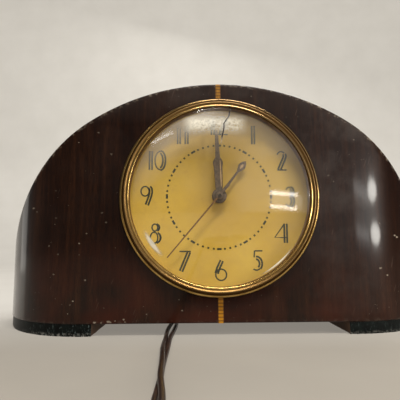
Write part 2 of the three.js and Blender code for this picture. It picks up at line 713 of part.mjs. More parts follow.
function buildTrain() {
  const rearFace = REAR_PLATE_D + PLATE_T;
  const minuteBore = MINUTE_TUBE_R - MINUTE_TUBE_WALL;
  const ahead = (PINION_LENGTH - WHEEL_T) / 2;

  // Second arbor with its pinion, and its wheel
  const secondPhase = 0;
  const secondPinion = gear(MIDDLE_GEAR.pinion, MIDDLE_GEAR.module, secondPhase, 0,
    MIDDLE_WHEEL_D - ahead, MIDDLE_WHEEL_D + WHEEL_T + ahead, CENTRE);
  const secondEnd = SECOND_HAND_D - HAND_T - PIVOT_PROUD;
  const secondShaft = rod(SECOND_ARBOR_R, secondEnd, rearFace, ...CENTRE, SMALL);
  add('second_arbor', join(secondShaft, secondPinion), STEEL);
  add('second_wheel', gear(ROTOR_GEAR.wheel, ROTOR_GEAR.module, 0, SECOND_ARBOR_R + RUN,
    SECOND_WHEEL_D, SECOND_WHEEL_D + WHEEL_T, CENTRE), BRASS);

  // Rotor's output pinion
  const rotorPhase = meshPhase(rotorDirection, ROTOR_GEAR.wheel, 0, ROTOR_GEAR.pinion);
  const rotorPinion = gear(ROTOR_GEAR.pinion, ROTOR_GEAR.module, rotorPhase, 0,
    SECOND_WHEEL_D - ahead, SECOND_WHEEL_D + WHEEL_T + ahead, rotorAxis);
  const rotorShaft = rod(PINION_SHAFT_R, SECOND_WHEEL_D - ahead - PIVOT_PROUD,
    rearFace + ROTOR_SHAFT_PROUD, ...rotorAxis, SMALL);
  add('rotor_pinion', join(rotorShaft, rotorPinion), STEEL);

  // Middle arbor with its wheel and pinion
  const middlePhase = meshPhase(middleDirection, MIDDLE_GEAR.pinion, secondPhase, MIDDLE_GEAR.wheel);
  const middleWheel = gear(MIDDLE_GEAR.wheel, MIDDLE_GEAR.module, middlePhase, 0,
    MIDDLE_WHEEL_D, MIDDLE_WHEEL_D + WHEEL_T, middleAxis);
  const middlePinion = gear(CENTRE_PINION, centreModule, 0, 0,
    CENTRE_WHEEL_D - ahead, CENTRE_WHEEL_D + WHEEL_T + ahead, middleAxis);
  const middleShaft = rod(ARBOR_R, FRONT_PLATE_D + PIVOT_SHY, rearFace - PIVOT_SHY, ...middleAxis, SMALL);
  add('middle_wheel', join(middleShaft, middleWheel, middlePinion), BRASS);

  // Centre wheel, gripped by friction on the minute tube
  const centrePhase = meshPhase(middleDirection + Math.PI, CENTRE_PINION, 0, CENTRE_WHEEL);
  add('centre_wheel', gear(CENTRE_WHEEL, centreModule, centrePhase, MINUTE_TUBE_R + RUN,
    CENTRE_WHEEL_D, CENTRE_WHEEL_D + WHEEL_T, CENTRE), BRASS);

  // Minute tube with the cannon pinion
  const cannonPinion = gear(MOTION_GEAR.pinion, MOTION_GEAR.module, 0, minuteBore,
    MINUTE_WHEEL_D - CANNON_OVER, MINUTE_WHEEL_D + MINUTE_WHEEL_T + CANNON_OVER, CENTRE);
  const minuteTube = tube(minuteBore, MINUTE_TUBE_R, MINUTE_HAND_D - HAND_T - PIVOT_PROUD / 2,
    CENTRE_WHEEL_D + WHEEL_T + PIVOT_PROUD, ...CENTRE);
  add('minute_tube', join(minuteTube, cannonPinion), STEEL);

  // Minute wheel with the hour pinion, on the front plate's stud
  const minuteWheelPhase = meshPhase(0, MOTION_GEAR.pinion, 0, MOTION_GEAR.wheel);
  const studBore = STUD_R + RUN;
  const minuteWheel = gear(MOTION_GEAR.wheel, MOTION_GEAR.module, minuteWheelPhase, studBore,
    MINUTE_WHEEL_D, MINUTE_WHEEL_D + MINUTE_WHEEL_T, minuteAxis);
  const hourPinion = gear(HOUR_PINION, hourModule, 0, studBore,
    HOUR_WHEEL_D, MINUTE_WHEEL_D + BITE, minuteAxis);
  add('minute_wheel', join(minuteWheel, hourPinion), BRASS);

  // Hour wheel with its pipe
  const hourPhase = meshPhase(Math.PI, HOUR_PINION, 0, HOUR_WHEEL);
  const hourBore = HOUR_PIPE_R - HOUR_PIPE_WALL;
  const hourWheel = gear(HOUR_WHEEL, hourModule, hourPhase, hourBore,
    HOUR_WHEEL_D, HOUR_WHEEL_D + WHEEL_T, CENTRE);
  const hourPipe = tube(hourBore, HOUR_PIPE_R, HOUR_HAND_D - HAND_T - PIVOT_PROUD / 4,
    HOUR_WHEEL_D + WHEEL_T, ...CENTRE);
  add('hour_wheel', join(hourWheel, hourPipe), BRASS);

  // Setting shaft with its wheel, and the knob
  const setPhase = meshPhase(0, MOTION_GEAR.wheel, minuteWheelPhase, SET_WHEEL);
  const setWheel = gear(SET_WHEEL, MOTION_GEAR.module, setPhase, 0,
    MINUTE_WHEEL_D, MINUTE_WHEEL_D + MINUTE_WHEEL_T, setAxis);
  const shaftEnd = KNOB_D + KNOB_T - KNOB_CAP;
  const setRod = rod(SET_SHAFT_R, MINUTE_WHEEL_D - PIVOT_PROUD, shaftEnd, ...setAxis, SMALL);
  add('set_shaft', join(setRod, setWheel), STEEL);
  add('set_knob', knob(shaftEnd), BAKELITE);
}

function knob(shaftEnd) {
  const points = [];
  for (let i = 0; i < KNOB_RIBS * 2; i += 1) {
    const angle = i * Math.PI / KNOB_RIBS;
    const radius = i % 2 ? KNOB_R : KNOB_R - KNOB_RIB_T;
    points.push([radius * Math.cos(angle), radius * Math.sin(angle)]);
  }
  const body = throughDepth(shapeOf(points), KNOB_D, KNOB_D + KNOB_T);
  body.translate(setAxis[0], 0, setAxis[1]);
  return cut(body, rod(SET_SHAFT_R + RUN, KNOB_D - PAST, shaftEnd + RUN, ...setAxis, SMALL));
}

// Hands, drawn pointing up and turned clockwise to their places

function hand(half, hubR, pipeR, rear, angle) {
  const outline = [...half, ...[...half].reverse().map(([x, z]) => [-x, z])];
  const blade = throughDepth(shapeOf(outline), rear - HAND_T, rear);
  const hub = rod(hubR, rear - HAND_T, rear, 0, 0);
  const hole = rod(pipeR + RUN, rear - HAND_T - PAST, rear + PAST, 0, 0);
  return cut(join(blade, hub), hole).rotateY(radians(angle)).translate(CENTRE[0], 0, CENTRE[1]);
}

function buildHands() {
  const hour = hand(HOUR_HALF, HOUR_HUB_R, HOUR_PIPE_R, HOUR_HAND_D, HOUR_ANGLE);
  add('hour_hand', hour, HAND_DARK);
  const minute = hand(MINUTE_HALF, MINUTE_HUB_R, MINUTE_TUBE_R, MINUTE_HAND_D, MINUTE_ANGLE);
  add('minute_hand', minute, HAND_DARK);
  const second = hand(SECOND_HALF, SECOND_HUB_R, SECOND_ARBOR_R, SECOND_HAND_D, SECOND_ANGLE);
  add('second_hand', second, HAND_GILT);
}

// Motor: laminated field core, coil on its bobbin, sealed can with the rotor in it

function fieldCore() {
  const [cx, cz] = CENTRE;
  const from = CORE_D - PAST;
  const to = CORE_D + CORE_T + PAST;
  const low = cz + CORE_BOTTOM;
  const outer = block(cx - CORE_HALF_W, cx + CORE_HALF_W, CORE_D, CORE_D + CORE_T, low, cz + CORE_TOP);
  const window = CORE_HALF_W - CORE_LEG;
  const opening = block(cx - window, cx + window, from, to, cz + WINDOW_BOTTOM, cz + CORE_TOP - TOP_LEG_H);
  const half = POLE_SLOT / 2;
  const slot = block(cx - half, cx + half, from, to, low - PAST, cz + WINDOW_BOTTOM + PAST);
  const bore = rod(CAN_NOSE_R + GAP, from, to, ...rotorAxis, WIDE);
  const holes = [-1, 1].map((side) => rod(CORE_SCREW_R + RUN, from, to,
    cx + side * CORE_SCREW_X, cz + CORE_SCREW_Z, SMALL));
  return cut(outer, opening, slot, bore, ...holes);
}

function coreScrew(side) {
  const seat = REAR_PLATE_D + PLATE_T;
  const rear = CORE_D + CORE_T;
  return turned([
    [0, seat], [CORE_SPACER_R, seat], [CORE_SPACER_R, CORE_D], [CORE_SCREW_R, CORE_D],
    [CORE_SCREW_R, rear], [CORE_SPACER_R, rear], [CORE_SPACER_R, rear + CORE_HEAD_T],
    [0, rear + CORE_HEAD_T],
  ], side * CORE_SCREW_X, DIAL_Z + CORE_SCREW_Z, SMALL);
}

// A square sleeve round the core's top leg, between two places across the clock.
function legSleeve(x0, x1, inner, outer) {
  const legLow = DIAL_Z + CORE_TOP - TOP_LEG_H;
  const legHigh = DIAL_Z + CORE_TOP;
  const front = CORE_D;
  const rear = CORE_D + CORE_T;
  const body = block(x0, x1, front - outer, rear + outer, legLow - outer, legHigh + outer);
  const core = block(x0 - PAST, x1 + PAST, front - inner, rear + inner, legLow - inner, legHigh + inner);
  return cut(body, core);
}

function coilBobbin() {
  const end = CORE_HALF_W - CORE_LEG - GAP;
  const sleeve = legSleeve(-end, end, GAP, GAP + FLANGE_T);
  const flanges = [-1, 1].map((side) => {
    const edges = [side * end, side * (end - FLANGE_T)];
    return legSleeve(Math.min(...edges), Math.max(...edges), GAP, COIL_BUILD);
  });
  return join(sleeve, ...flanges);
}

function fieldCoil() {
  const end = CORE_HALF_W - CORE_LEG - FLANGE_T - 2 * GAP;
  return legSleeve(-end, end, 2 * GAP + FLANGE_T, COIL_BUILD - GAP);
}

function rotorCan() {
  const front = REAR_PLATE_D + PLATE_T + GAP;
  const step = CORE_D - GAP;
  const rear = step + CAN_NOSE_L;
  const hole = PINION_SHAFT_R + RUN;
  return turned([
    [hole, front], [CAN_R, front], [CAN_R, step], [CAN_NOSE_R, step], [CAN_NOSE_R, rear], [0, rear],
    [0, rear - CAN_WALL], [CAN_NOSE_R - CAN_WALL, rear - CAN_WALL], [CAN_NOSE_R - CAN_WALL, step - CAN_WALL],
    [CAN_R - CAN_WALL, step - CAN_WALL], [CAN_R - CAN_WALL, front + CAN_WALL], [hole, front + CAN_WALL],
  ], ...rotorAxis, WIDE);
}

function magnetRotor() {
  const rear = CORE_D + CAN_NOSE_L - CAN_WALL - 2 * GAP;
  const front = REAR_PLATE_D + PLATE_T + ROTOR_SHAFT_PROUD + GAP;
  const middle = CORE_D + CORE_T / 2;
  return turned([
    [0, front], [STUD_R, front], [STUD_R, middle - ROTOR_T / 2], [ROTOR_R, middle - ROTOR_T / 2],
    [ROTOR_R, middle + ROTOR_T / 2], [STUD_R, middle + ROTOR_T / 2], [STUD_R, rear], [0, rear],
  ], ...rotorAxis);
}

function buildMotor() {
  add('field_core', fieldCore(), IRON);
  add('coil_bobbin', coilBobbin(), FIBRE);
  add('field_coil', fieldCoil(), COIL_TAPE);
  add('rotor_can', rotorCan(), COPPER);
  add('magnet_rotor', magnetRotor(), IRON);
  add('left_core_screw', coreScrew(-1), STEEL);
  add('right_core_screw', coreScrew(1), STEEL);
}

// Mains cord

function strainRelief() {
  const rear = BACK_D + BACK_T;
  return turned([
    [0, BOOT_FRONT], [BOOT_FLANGE_R, BOOT_FRONT], [BOOT_FLANGE_R, BACK_D - GAP],
    [BOOT_ROOT_R, BACK_D - GAP], [BOOT_ROOT_R, rear + GAP], [BOOT_FLANGE_R, rear + GAP],
    [BOOT_FLANGE_R, rear + GAP + BOOT_FLANGE_T], [BOOT_ROOT_R, rear + GAP + BOOT_FLANGE_T + BOOT_NECK],
    [BOOT_TIP_R, rear + BOOT_L], [0, rear + BOOT_L],
  ], CORD_EXIT_X, CORD_EXIT_Z);
}

// A flat section of two side-by-side wires: thin way first, wide way second.
function cordSection(sides) {
  return Array.from({ length: sides }, (_, i) => {
    const angle = (i + 0.5) * 2 * Math.PI / sides;
    return [CORD_T / 2 * Math.cos(angle) / Math.cos(Math.PI / sides), CORD_W / 2 * Math.sin(angle)];
  });
}

// A tube along a path, rolled so that the section's first way points up where the path ends.
function alongPath(points, section, steps) {
  const places = points.map(([x, y, z]) => new THREE.Vector3(x, y, z));
  const path = new THREE.CatmullRomCurve3(places, false, 'centripetal');
  const frames = path.computeFrenetFrames(steps, false);
  const roll = Math.atan2(frames.binormals[steps].z, frames.normals[steps].z);
  const rolled = section.map(([thin, wide]) => [
    thin * Math.cos(roll) - wide * Math.sin(roll), thin * Math.sin(roll) + wide * Math.cos(roll),
  ]);
  return new THREE.ExtrudeGeometry(shapeOf(rolled), { extrudePath: path, steps, bevelEnabled: false });
}

// Where the cord lies between the strain relief and the coil: across, depth, height.
const BOOT_END = BACK_D + BACK_T + BOOT_L + GAP;
const COIL_START = COIL_Y + LEAD_IN + GAP;
const LIE = CORD_T / 2 + FLOOR_CLEAR;
const CORD_ROUTE = [
  [CORD_EXIT_X, BOOT_END, CORD_EXIT_Z],
  [CORD_EXIT_X, BOOT_END + 5.5, CORD_EXIT_Z],
  [12.6, 113, 20.2],
  [4.5, 121.6, 15.5],
  [-7.5, 125, 9.6],
  [-19.2, 121.6, 4.6],
  [-27.6, 113, 2],
  [-30.6, 100, LIE],
  [-30.6, 80, LIE],
  [-30.2, 56, LIE],
  [-30.5, 32, LIE],
  [-31.3, 12, LIE],
  [-31.7, -10, LIE],
  [-31.4, -35, LIE],
  [-30.6, -60, LIE],
  [-29.4, -90, LIE],
  [-28.2, -112, LIE],
  [CORD_FLOOR_X, -135, LIE],
  [CORD_FLOOR_X, COIL_START + 6, LIE],
  [CORD_FLOOR_X, COIL_START, LIE],
];

// Inside the case, from the strain relief up to the middle of the field coil's rear face, half way
// between the coil and the back board.
const LEAD_D = (COIL_REAR + BACK_D) / 2;
const LEAD_REACH = LEAD_D - COIL_REAR;
const LEAD_END_Z = DIAL_Z + CORE_SCREW_Z - 2.8;
const LEAD_ROUTE = [
  [CORD_EXIT_X, BOOT_FRONT - GAP, CORD_EXIT_Z],
  [CORD_EXIT_X, BOOT_FRONT - GAP - 4.5, CORD_EXIT_Z],
  [14.5, LEAD_D - 4, CORD_EXIT_Z + 7],
  [12, LEAD_D - 4, CORD_EXIT_Z + 26],
  [7, LEAD_D - 1.5, DIAL_Z - 10],
  [2, LEAD_D, LEAD_END_Z - 10],
  [0.3, LEAD_D, LEAD_END_Z - 3],
  [0, COIL_REAR + LEAD_REACH * 0.77, LEAD_END_Z],
  [0, COIL_REAR + LEAD_REACH * 0.35, LEAD_END_Z],
  [0, COIL_REAR + GAP, LEAD_END_Z],
];

// The middle line of the wound coil with the lean of the cord's flat at each place.
function coilLine() {
  const line = [];
  const turns = COIL_TURNS_IN + COIL_TURNS_OUT;
  const flat = Math.PI / 2;
  const entry = [[1, LIE, flat], [0.72, LIE, flat], [0.5, LIE + 0.6, flat * 0.66],
    [0.3, COIL_LOW_Z - 0.5, flat * 0.25], [0.12, COIL_LOW_Z, 0]];
  for (const [share, z, lean] of entry) {
    line.push({ at: new THREE.Vector3(COIL_X - COIL_OUTER_R, COIL_Y + share * LEAD_IN, z), lean });
  }
  for (let i = 0; i <= Math.round(turns * COIL_STEPS); i += 1) {
    const turn = i / COIL_STEPS;
    const radius = COIL_INNER_R + LOOP_STEP * Math.abs(turn - COIL_TURNS_IN);
    const climb = THREE.MathUtils.smoothstep(turn, COIL_TURNS_IN - 0.25, COIL_TURNS_IN + 0.25);
    const angle = Math.PI + turn * 2 * Math.PI;
    const at = new THREE.Vector3(
      COIL_X + radius * Math.cos(angle), COIL_Y + radius * Math.sin(angle), COIL_LOW_Z + LAYER_RISE * climb);
    line.push({ at, lean: 0 });
  }
  const last = line.at(-1).at;
  const exit = [[0.15, last.z, 0], [0.35, last.z - 0.8, flat * 0.3], [0.55, PLUG_T / 2 + 0.4, flat * 0.75],
    [0.75, PLUG_T / 2, flat], [1, PLUG_T / 2, flat]];
  for (const [share, z, lean] of exit) {
    line.push({ at: new THREE.Vector3(last.x + share * LEAD_OUT, last.y, z), lean });
  }
  return line;
}

// A closed tube along a line of places, its section kept upright but for the lean.
function sweptTube(line, section) {
  const sides = section.length;
  const positions = [];
  const index = [];
  const up = new THREE.Vector3(0, 0, 1);
  line.forEach(({ at, lean }, i) => {
    const before = line[Math.max(i - 1, 0)].at;
    const after = line[Math.min(i + 1, line.length - 1)].at;
    const ahead = after.clone().sub(before).normalize();
    if (i < 2 || i > line.length - 3) {
      ahead.z = 0;
      ahead.normalize();
    }
    const across = new THREE.Vector3().crossVectors(ahead, up).normalize();
    const over = new THREE.Vector3().crossVectors(across, ahead).normalize();
    for (const [thin, wide] of section) {
      const side = thin * Math.cos(lean) + wide * Math.sin(lean);
      const height = wide * Math.cos(lean) - thin * Math.sin(lean);
      const point = at.clone().addScaledVector(across, side).addScaledVector(over, height);
      positions.push(point.x, point.y, point.z);
    }
  });
  for (let i = 0; i < line.length - 1; i += 1) {
    for (let k = 0; k < sides; k += 1) {
      const a = i * sides + k;
      const b = i * sides + (k + 1) % sides;
      index.push(a, a + sides, b, b, a + sides, b + sides);
    }
  }
  const end = (line.length - 1) * sides;
  for (let k = 1; k < sides - 1; k += 1) {
    index.push(0, k, k + 1, end, end + k + 1, end + k);
  }
  const geometry = new THREE.BufferGeometry();
  geometry.setAttribute('position', new THREE.Float32BufferAttribute(positions, 3));
  geometry.setIndex(index);
  return geometry;
}

// The least distance between points of the tube that lie half a turn or more apart along it.
function leastGap(geometry, sides, stepsApart) {
  const position = geometry.attributes.position;
  const rings = position.count / sides;
  const points = [];
  for (let ring = 0; ring < rings; ring += 1) {
    for (let k = 0; k < sides; k += 1) {
      const a = new THREE.Vector3().fromBufferAttribute(position, ring * sides + k);
      const b = new THREE.Vector3().fromBufferAttribute(position, ring * sides + (k + 1) % sides);
      points.push([ring, a], [ring, a.clone().lerp(b, 0.5)]);
    }
  }
  let least = Infinity;
  for (let i = 0; i < points.length; i += 1) {
    for (let j = i + 1; j < points.length; j += 1) {
      if (points[j][0] - points[i][0] >= stepsApart) {
        least = Math.min(least, points[i][1].distanceToSquared(points[j][1]));
      }
    }
  }
  return Math.sqrt(least);
}

function cordCoil() {
  const geometry = sweptTube(coilLine(), cordSection(6));
  const gap = leastGap(geometry, 6, COIL_STEPS / 2);
  console.log(`least gap of the cord coil to itself: ${gap.toFixed(2)} mm`);
  return geometry;
}

function cordTie() {
  const inner = COIL_INNER_R - CORD_T / 2 - TIE_GAP;
  const outer = COIL_OUTER_R + LOOP_STEP * (COIL_TURNS_OUT - COIL_TURNS_IN) + CORD_T / 2 + TIE_GAP;
  const top = COIL_LOW_Z + LAYER_RISE + CORD_W / 2 + TIE_GAP;
  const half = TIE_W / 2;
  const x0 = COIL_X + inner;
  const x1 = COIL_X + outer;
  return cut(
    block(x0 - TIE_T, x1 + TIE_T, COIL_Y - half, COIL_Y + half, 0, top + TIE_T),
    block(x0, x1, COIL_Y - half - PAST, COIL_Y + half + PAST, TIE_T, top),
  );
}

function buildPlug() {
  const end = coilLine().at(-1).at;
  const x0 = end.x + GAP;
  const neck = PLUG_NECK / 2 - PLUG_BEVEL;
  const wide = PLUG_W / 2 - PLUG_BEVEL;
  const outline = [
    [PLUG_BEVEL, -neck], [PLUG_WAIST, -neck - PLUG_FLARE], [PLUG_WAIST + PLUG_SHOULDER, -wide],
    [PLUG_L - PLUG_BEVEL, -wide], [PLUG_L - PLUG_BEVEL, wide], [PLUG_WAIST + PLUG_SHOULDER, wide],
    [PLUG_WAIST, neck + PLUG_FLARE], [PLUG_BEVEL, neck],
  ];
  const body = new THREE.ExtrudeGeometry(shapeOf(outline), {
    depth: PLUG_T - 2 * PLUG_BEVEL, bevelEnabled: true, bevelSize: PLUG_BEVEL,
    bevelThickness: PLUG_BEVEL, bevelSegments: 2, steps: 1,
  }).translate(x0, end.y, PLUG_BEVEL);
  const front = x0 + PLUG_L;
  const blades = [-1, 1].map((side) => {
    const middle = end.y + side * BLADE_SPREAD / 2;
    return (spare) => block(front - BLADE_ROOT - spare, front + BLADE_L, middle - BLADE_T / 2 - spare,
      middle + BLADE_T / 2 + spare, PLUG_T / 2 - BLADE_H / 2 - spare, PLUG_T / 2 + BLADE_H / 2 + spare);
  });
  add('plug_body', cut(body, ...blades.map((blade) => blade(GAP))), BROWN_RUBBER);
  add('plug_blade_1', blades[0](0), BRASS);
  add('plug_blade_2', blades[1](0), BRASS);
}

function buildCord() {
  add('strain_relief', strainRelief(), BROWN_RUBBER);
  add('coil_lead', alongPath(LEAD_ROUTE, circlePoints(LEAD_R, 8), LEAD_STEPS), BROWN_RUBBER);
  add('cord', alongPath(CORD_ROUTE, cordSection(8), CORD_STEPS), BROWN_RUBBER);
  add('cord_coil', cordCoil(), BROWN_RUBBER);
  add('cord_tie', cordTie(), STEEL);
  buildPlug();
}

function circlePoints(radius, sides) {
  return Array.from({ length: sides }, (_, i) => {
    const angle = i * 2 * Math.PI / sides;
    return [radius * Math.cos(angle), radius * Math.sin(angle)];
  });
}

buildCase(setAxis[0]);
buildDial();
buildPlates();
buildTrain();
buildHands();
buildMotor();
buildCord();

export default clock;
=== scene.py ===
"""Looks for a half-round electric mantel clock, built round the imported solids. Lengths are in millimetres
unless they say otherwise; depths are measured backwards from the case's flat front."""
import json
import math
import random

import bmesh
import bpy
from mathutils import Matrix, Vector


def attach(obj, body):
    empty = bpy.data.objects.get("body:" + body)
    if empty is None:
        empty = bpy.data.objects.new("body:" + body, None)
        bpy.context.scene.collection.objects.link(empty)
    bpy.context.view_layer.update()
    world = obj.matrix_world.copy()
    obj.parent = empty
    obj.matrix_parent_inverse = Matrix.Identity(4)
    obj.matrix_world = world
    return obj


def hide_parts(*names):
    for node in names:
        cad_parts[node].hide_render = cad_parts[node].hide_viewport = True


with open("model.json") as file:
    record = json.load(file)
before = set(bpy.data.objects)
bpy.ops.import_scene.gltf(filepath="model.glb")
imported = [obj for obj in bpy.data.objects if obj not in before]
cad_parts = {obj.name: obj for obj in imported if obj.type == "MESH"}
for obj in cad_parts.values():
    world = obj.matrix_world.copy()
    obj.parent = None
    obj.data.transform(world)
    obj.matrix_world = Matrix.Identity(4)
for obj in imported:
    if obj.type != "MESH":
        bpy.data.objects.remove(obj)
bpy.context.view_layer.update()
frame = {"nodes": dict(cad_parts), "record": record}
nodes = frame["nodes"]

MM = 0.001
FRONT_Y = -34.7
ARCH_R = 152.4
SIDE_X = 150.1
BEND_R = 66.0
FLAT_X = SIDE_X - BEND_R  # the front is flat this far to each side
DEPTH = 76.0
PLY = 6.0
GAP = 0.3
FOOT_H = 7.4
FOOT_INNER_X = 79.0
DIAL_Z = 85.8
HOLE_R = 59.5
DOME_R, DOME_RIM_D, DOME_H = 57.1, -5, 8.6
DOME_SPHERE_R = (DOME_R ** 2 + DOME_H ** 2) / (2 * DOME_H)


def place(x, d, z):
    return Vector((x * MM, (d + FRONT_Y) * MM, z * MM))


def circle(count):
    """Cosine and sine of evenly spread directions."""
    return [(math.cos(a), math.sin(a)) for a in spread(0, 2 * math.pi, count)[:-1]]


def spread(first, last, steps):
    """Evenly spaced values from first to last, both included."""
    return [first + (last - first) * i / steps for i in range(steps + 1)]


def new_object(name, data):
    made = bpy.data.objects.new(name, data)
    bpy.context.scene.collection.objects.link(made)
    return made


# Camera
CAMERA = Vector((-0.0153, -0.2859, 0.0535))
YAW, PITCH, ROLL = 0.012, 0.118, 0.008


def camera_axes():
    right = Vector((math.cos(YAW), -math.sin(YAW), 0))
    level = Vector((math.sin(YAW), math.cos(YAW), 0))
    ahead = level * math.cos(PITCH) + Vector((0, 0, math.sin(PITCH)))
    up = -level * math.sin(PITCH) + Vector((0, 0, math.cos(PITCH)))
    cos, sin = math.cos(ROLL), math.sin(ROLL)
    return right * cos - up * sin, right * sin + up * cos, ahead


def make_camera():
    data = bpy.data.cameras.new("view_camera")
    data.sensor_width = 36
    data.lens = 36
    data.clip_start = 0.01
    data.clip_end = 20
    camera = new_object("view_camera", data)
    right, up, ahead = camera_axes()
    turn = Matrix((right, up, -ahead)).transposed()
    camera.matrix_world = Matrix.Translation(CAMERA) @ turn.to_4x4()
    bpy.context.scene.camera = camera


make_camera()


# Node materials
class Value:
    """A number or colour that nodes work out; the usual signs add the nodes."""

    def __init__(self, maker, socket):
        self.maker, self.socket = maker, socket

    def __add__(self, other):
        return self.maker.math("ADD", self, other)

    def __sub__(self, other):
        return self.maker.math("SUBTRACT", self, other)

    def __rsub__(self, other):
        return self.maker.math("SUBTRACT", other, self)

    def __mul__(self, other):
        return self.maker.math("MULTIPLY", self, other)

    def __lt__(self, other):
        return self.maker.math("LESS_THAN", self, other)

    def __abs__(self):
        return self.maker.math("ABSOLUTE", self)

    def wave(self, length):
        """Swings between -1 and 1, once in each length."""
        return self.maker.math("SINE", self * (2 * math.pi / length))

    def band(self, low, high, a=0.0, b=1.0, **settings):
        """Turns low..high into a..b, clamped."""
        return self.maker.add("MapRange", {"Value": self, "From Min": low, "From Max": high,
                                           "To Min": a, "To Max": b}, **settings)

    def ramp(self, *stops):
        """Turns the number into a colour; each stop is a number and its colour."""
        made = self.maker.make("ValToRGB", {"Fac": self})
        elements = made.color_ramp.elements
        while len(elements) < len(stops):
            elements.new(0.5)
        for element, (at, color) in zip(elements, stops):
            element.position = at
            element.color = (*color, 1)
        return Value(self.maker, made.outputs["Color"])

    def stained(self, share, color):
        """The colour with that share of another one laid over it."""
        return self.maker.add("Mix", {0: share, 6: self, 7: color}, 2, data_type="RGBA")


class Nodes:
    """Adds nodes to a node tree; inputs that are Values are linked, others are set."""

    def __init__(self, tree):
        self.tree = tree

    def put(self, socket, value):
        if isinstance(value, Value):
            self.tree.links.new(value.socket, socket)
        elif socket.type == "RGBA":
            socket.default_value = (*value, 1)
        else:
            socket.default_value = value

    def make(self, kind, inputs=None, **settings):
        made = self.tree.nodes.new("ShaderNode" + kind)
        for key, value in settings.items():
            setattr(made, key, value)
        for key, value in (inputs or {}).items():
            self.put(made.inputs[key], value)
        return made

    def add(self, kind, inputs=None, out=0, **settings):
        return Value(self, self.make(kind, inputs, **settings).outputs[out])

    def math(self, what, a, b=0.0, clamp=False):
        return self.add("Math", {0: a, 1: b}, operation=what, use_clamp=clamp)

    def largest(self, value, *others):
        for other in others:
            value = self.math("MAXIMUM", value, other)
        return value

    def distance(self, a, b):
        return self.math("SQRT", a * a + b * b)


class Paint(Nodes):
    """A Principled material."""

    def __init__(self, name, **sockets):
        self.material = bpy.data.materials.new(name)
        self.material.use_nodes = True
        super().__init__(self.material.node_tree)
        self.shader = self.tree.nodes["Principled BSDF"]
        self.done(**sockets)

    def done(self, **sockets):
        """Sets sockets of the shader and returns the material."""
        for key, value in sockets.items():
            self.put(self.shader.inputs[key.replace("_", " ")], value)
        return self.material

    def spot(self, stretch=1, shift=(0, 0, 0), uv=None, turn=(0, 0, 0)):
        """Places on the object in millimetres, or its own UV run, stretched."""
        source = self.add("UVMap", uv_map=uv) if uv else self.add("TexCoord", out="Object")
        ways = (stretch,) * 3 if isinstance(stretch, (int, float)) else stretch
        return self.add("Mapping", {"Vector": source, "Scale": [1000 * way for way in ways],
                                    "Rotation": turn, "Location": shift})

    def axes(self):
        """The three coordinates of the place, in millimetres."""
        return [Value(self, out) for out in self.make("SeparateXYZ", {"Vector": self.spot()}).outputs]

    def noise_at(self, where, detail=3.0, rough=0.5, twist=0.0):
        return self.add("TexNoise", {"Vector": where, "Scale": 1.0, "Detail": detail,
                                     "Roughness": rough, "Distortion": twist})

    def noise(self, stretch, detail=3.0, rough=0.5, shift=(0, 0, 0), uv=None, twist=0.0, turn=(0, 0, 0)):
        return self.noise_at(self.spot(stretch, shift, uv, turn), detail, rough, twist)

    def cells(self, stretch, shift):
        """Distance to the nearest of scattered points."""
        return self.add("TexVoronoi", {"Vector": self.spot(stretch, shift), "Scale": 1.0}, "Distance")

    def bump(self, height, strength, depth):
        return self.add("Bump", {"Height": height, "Strength": strength, "Distance": depth * MM})


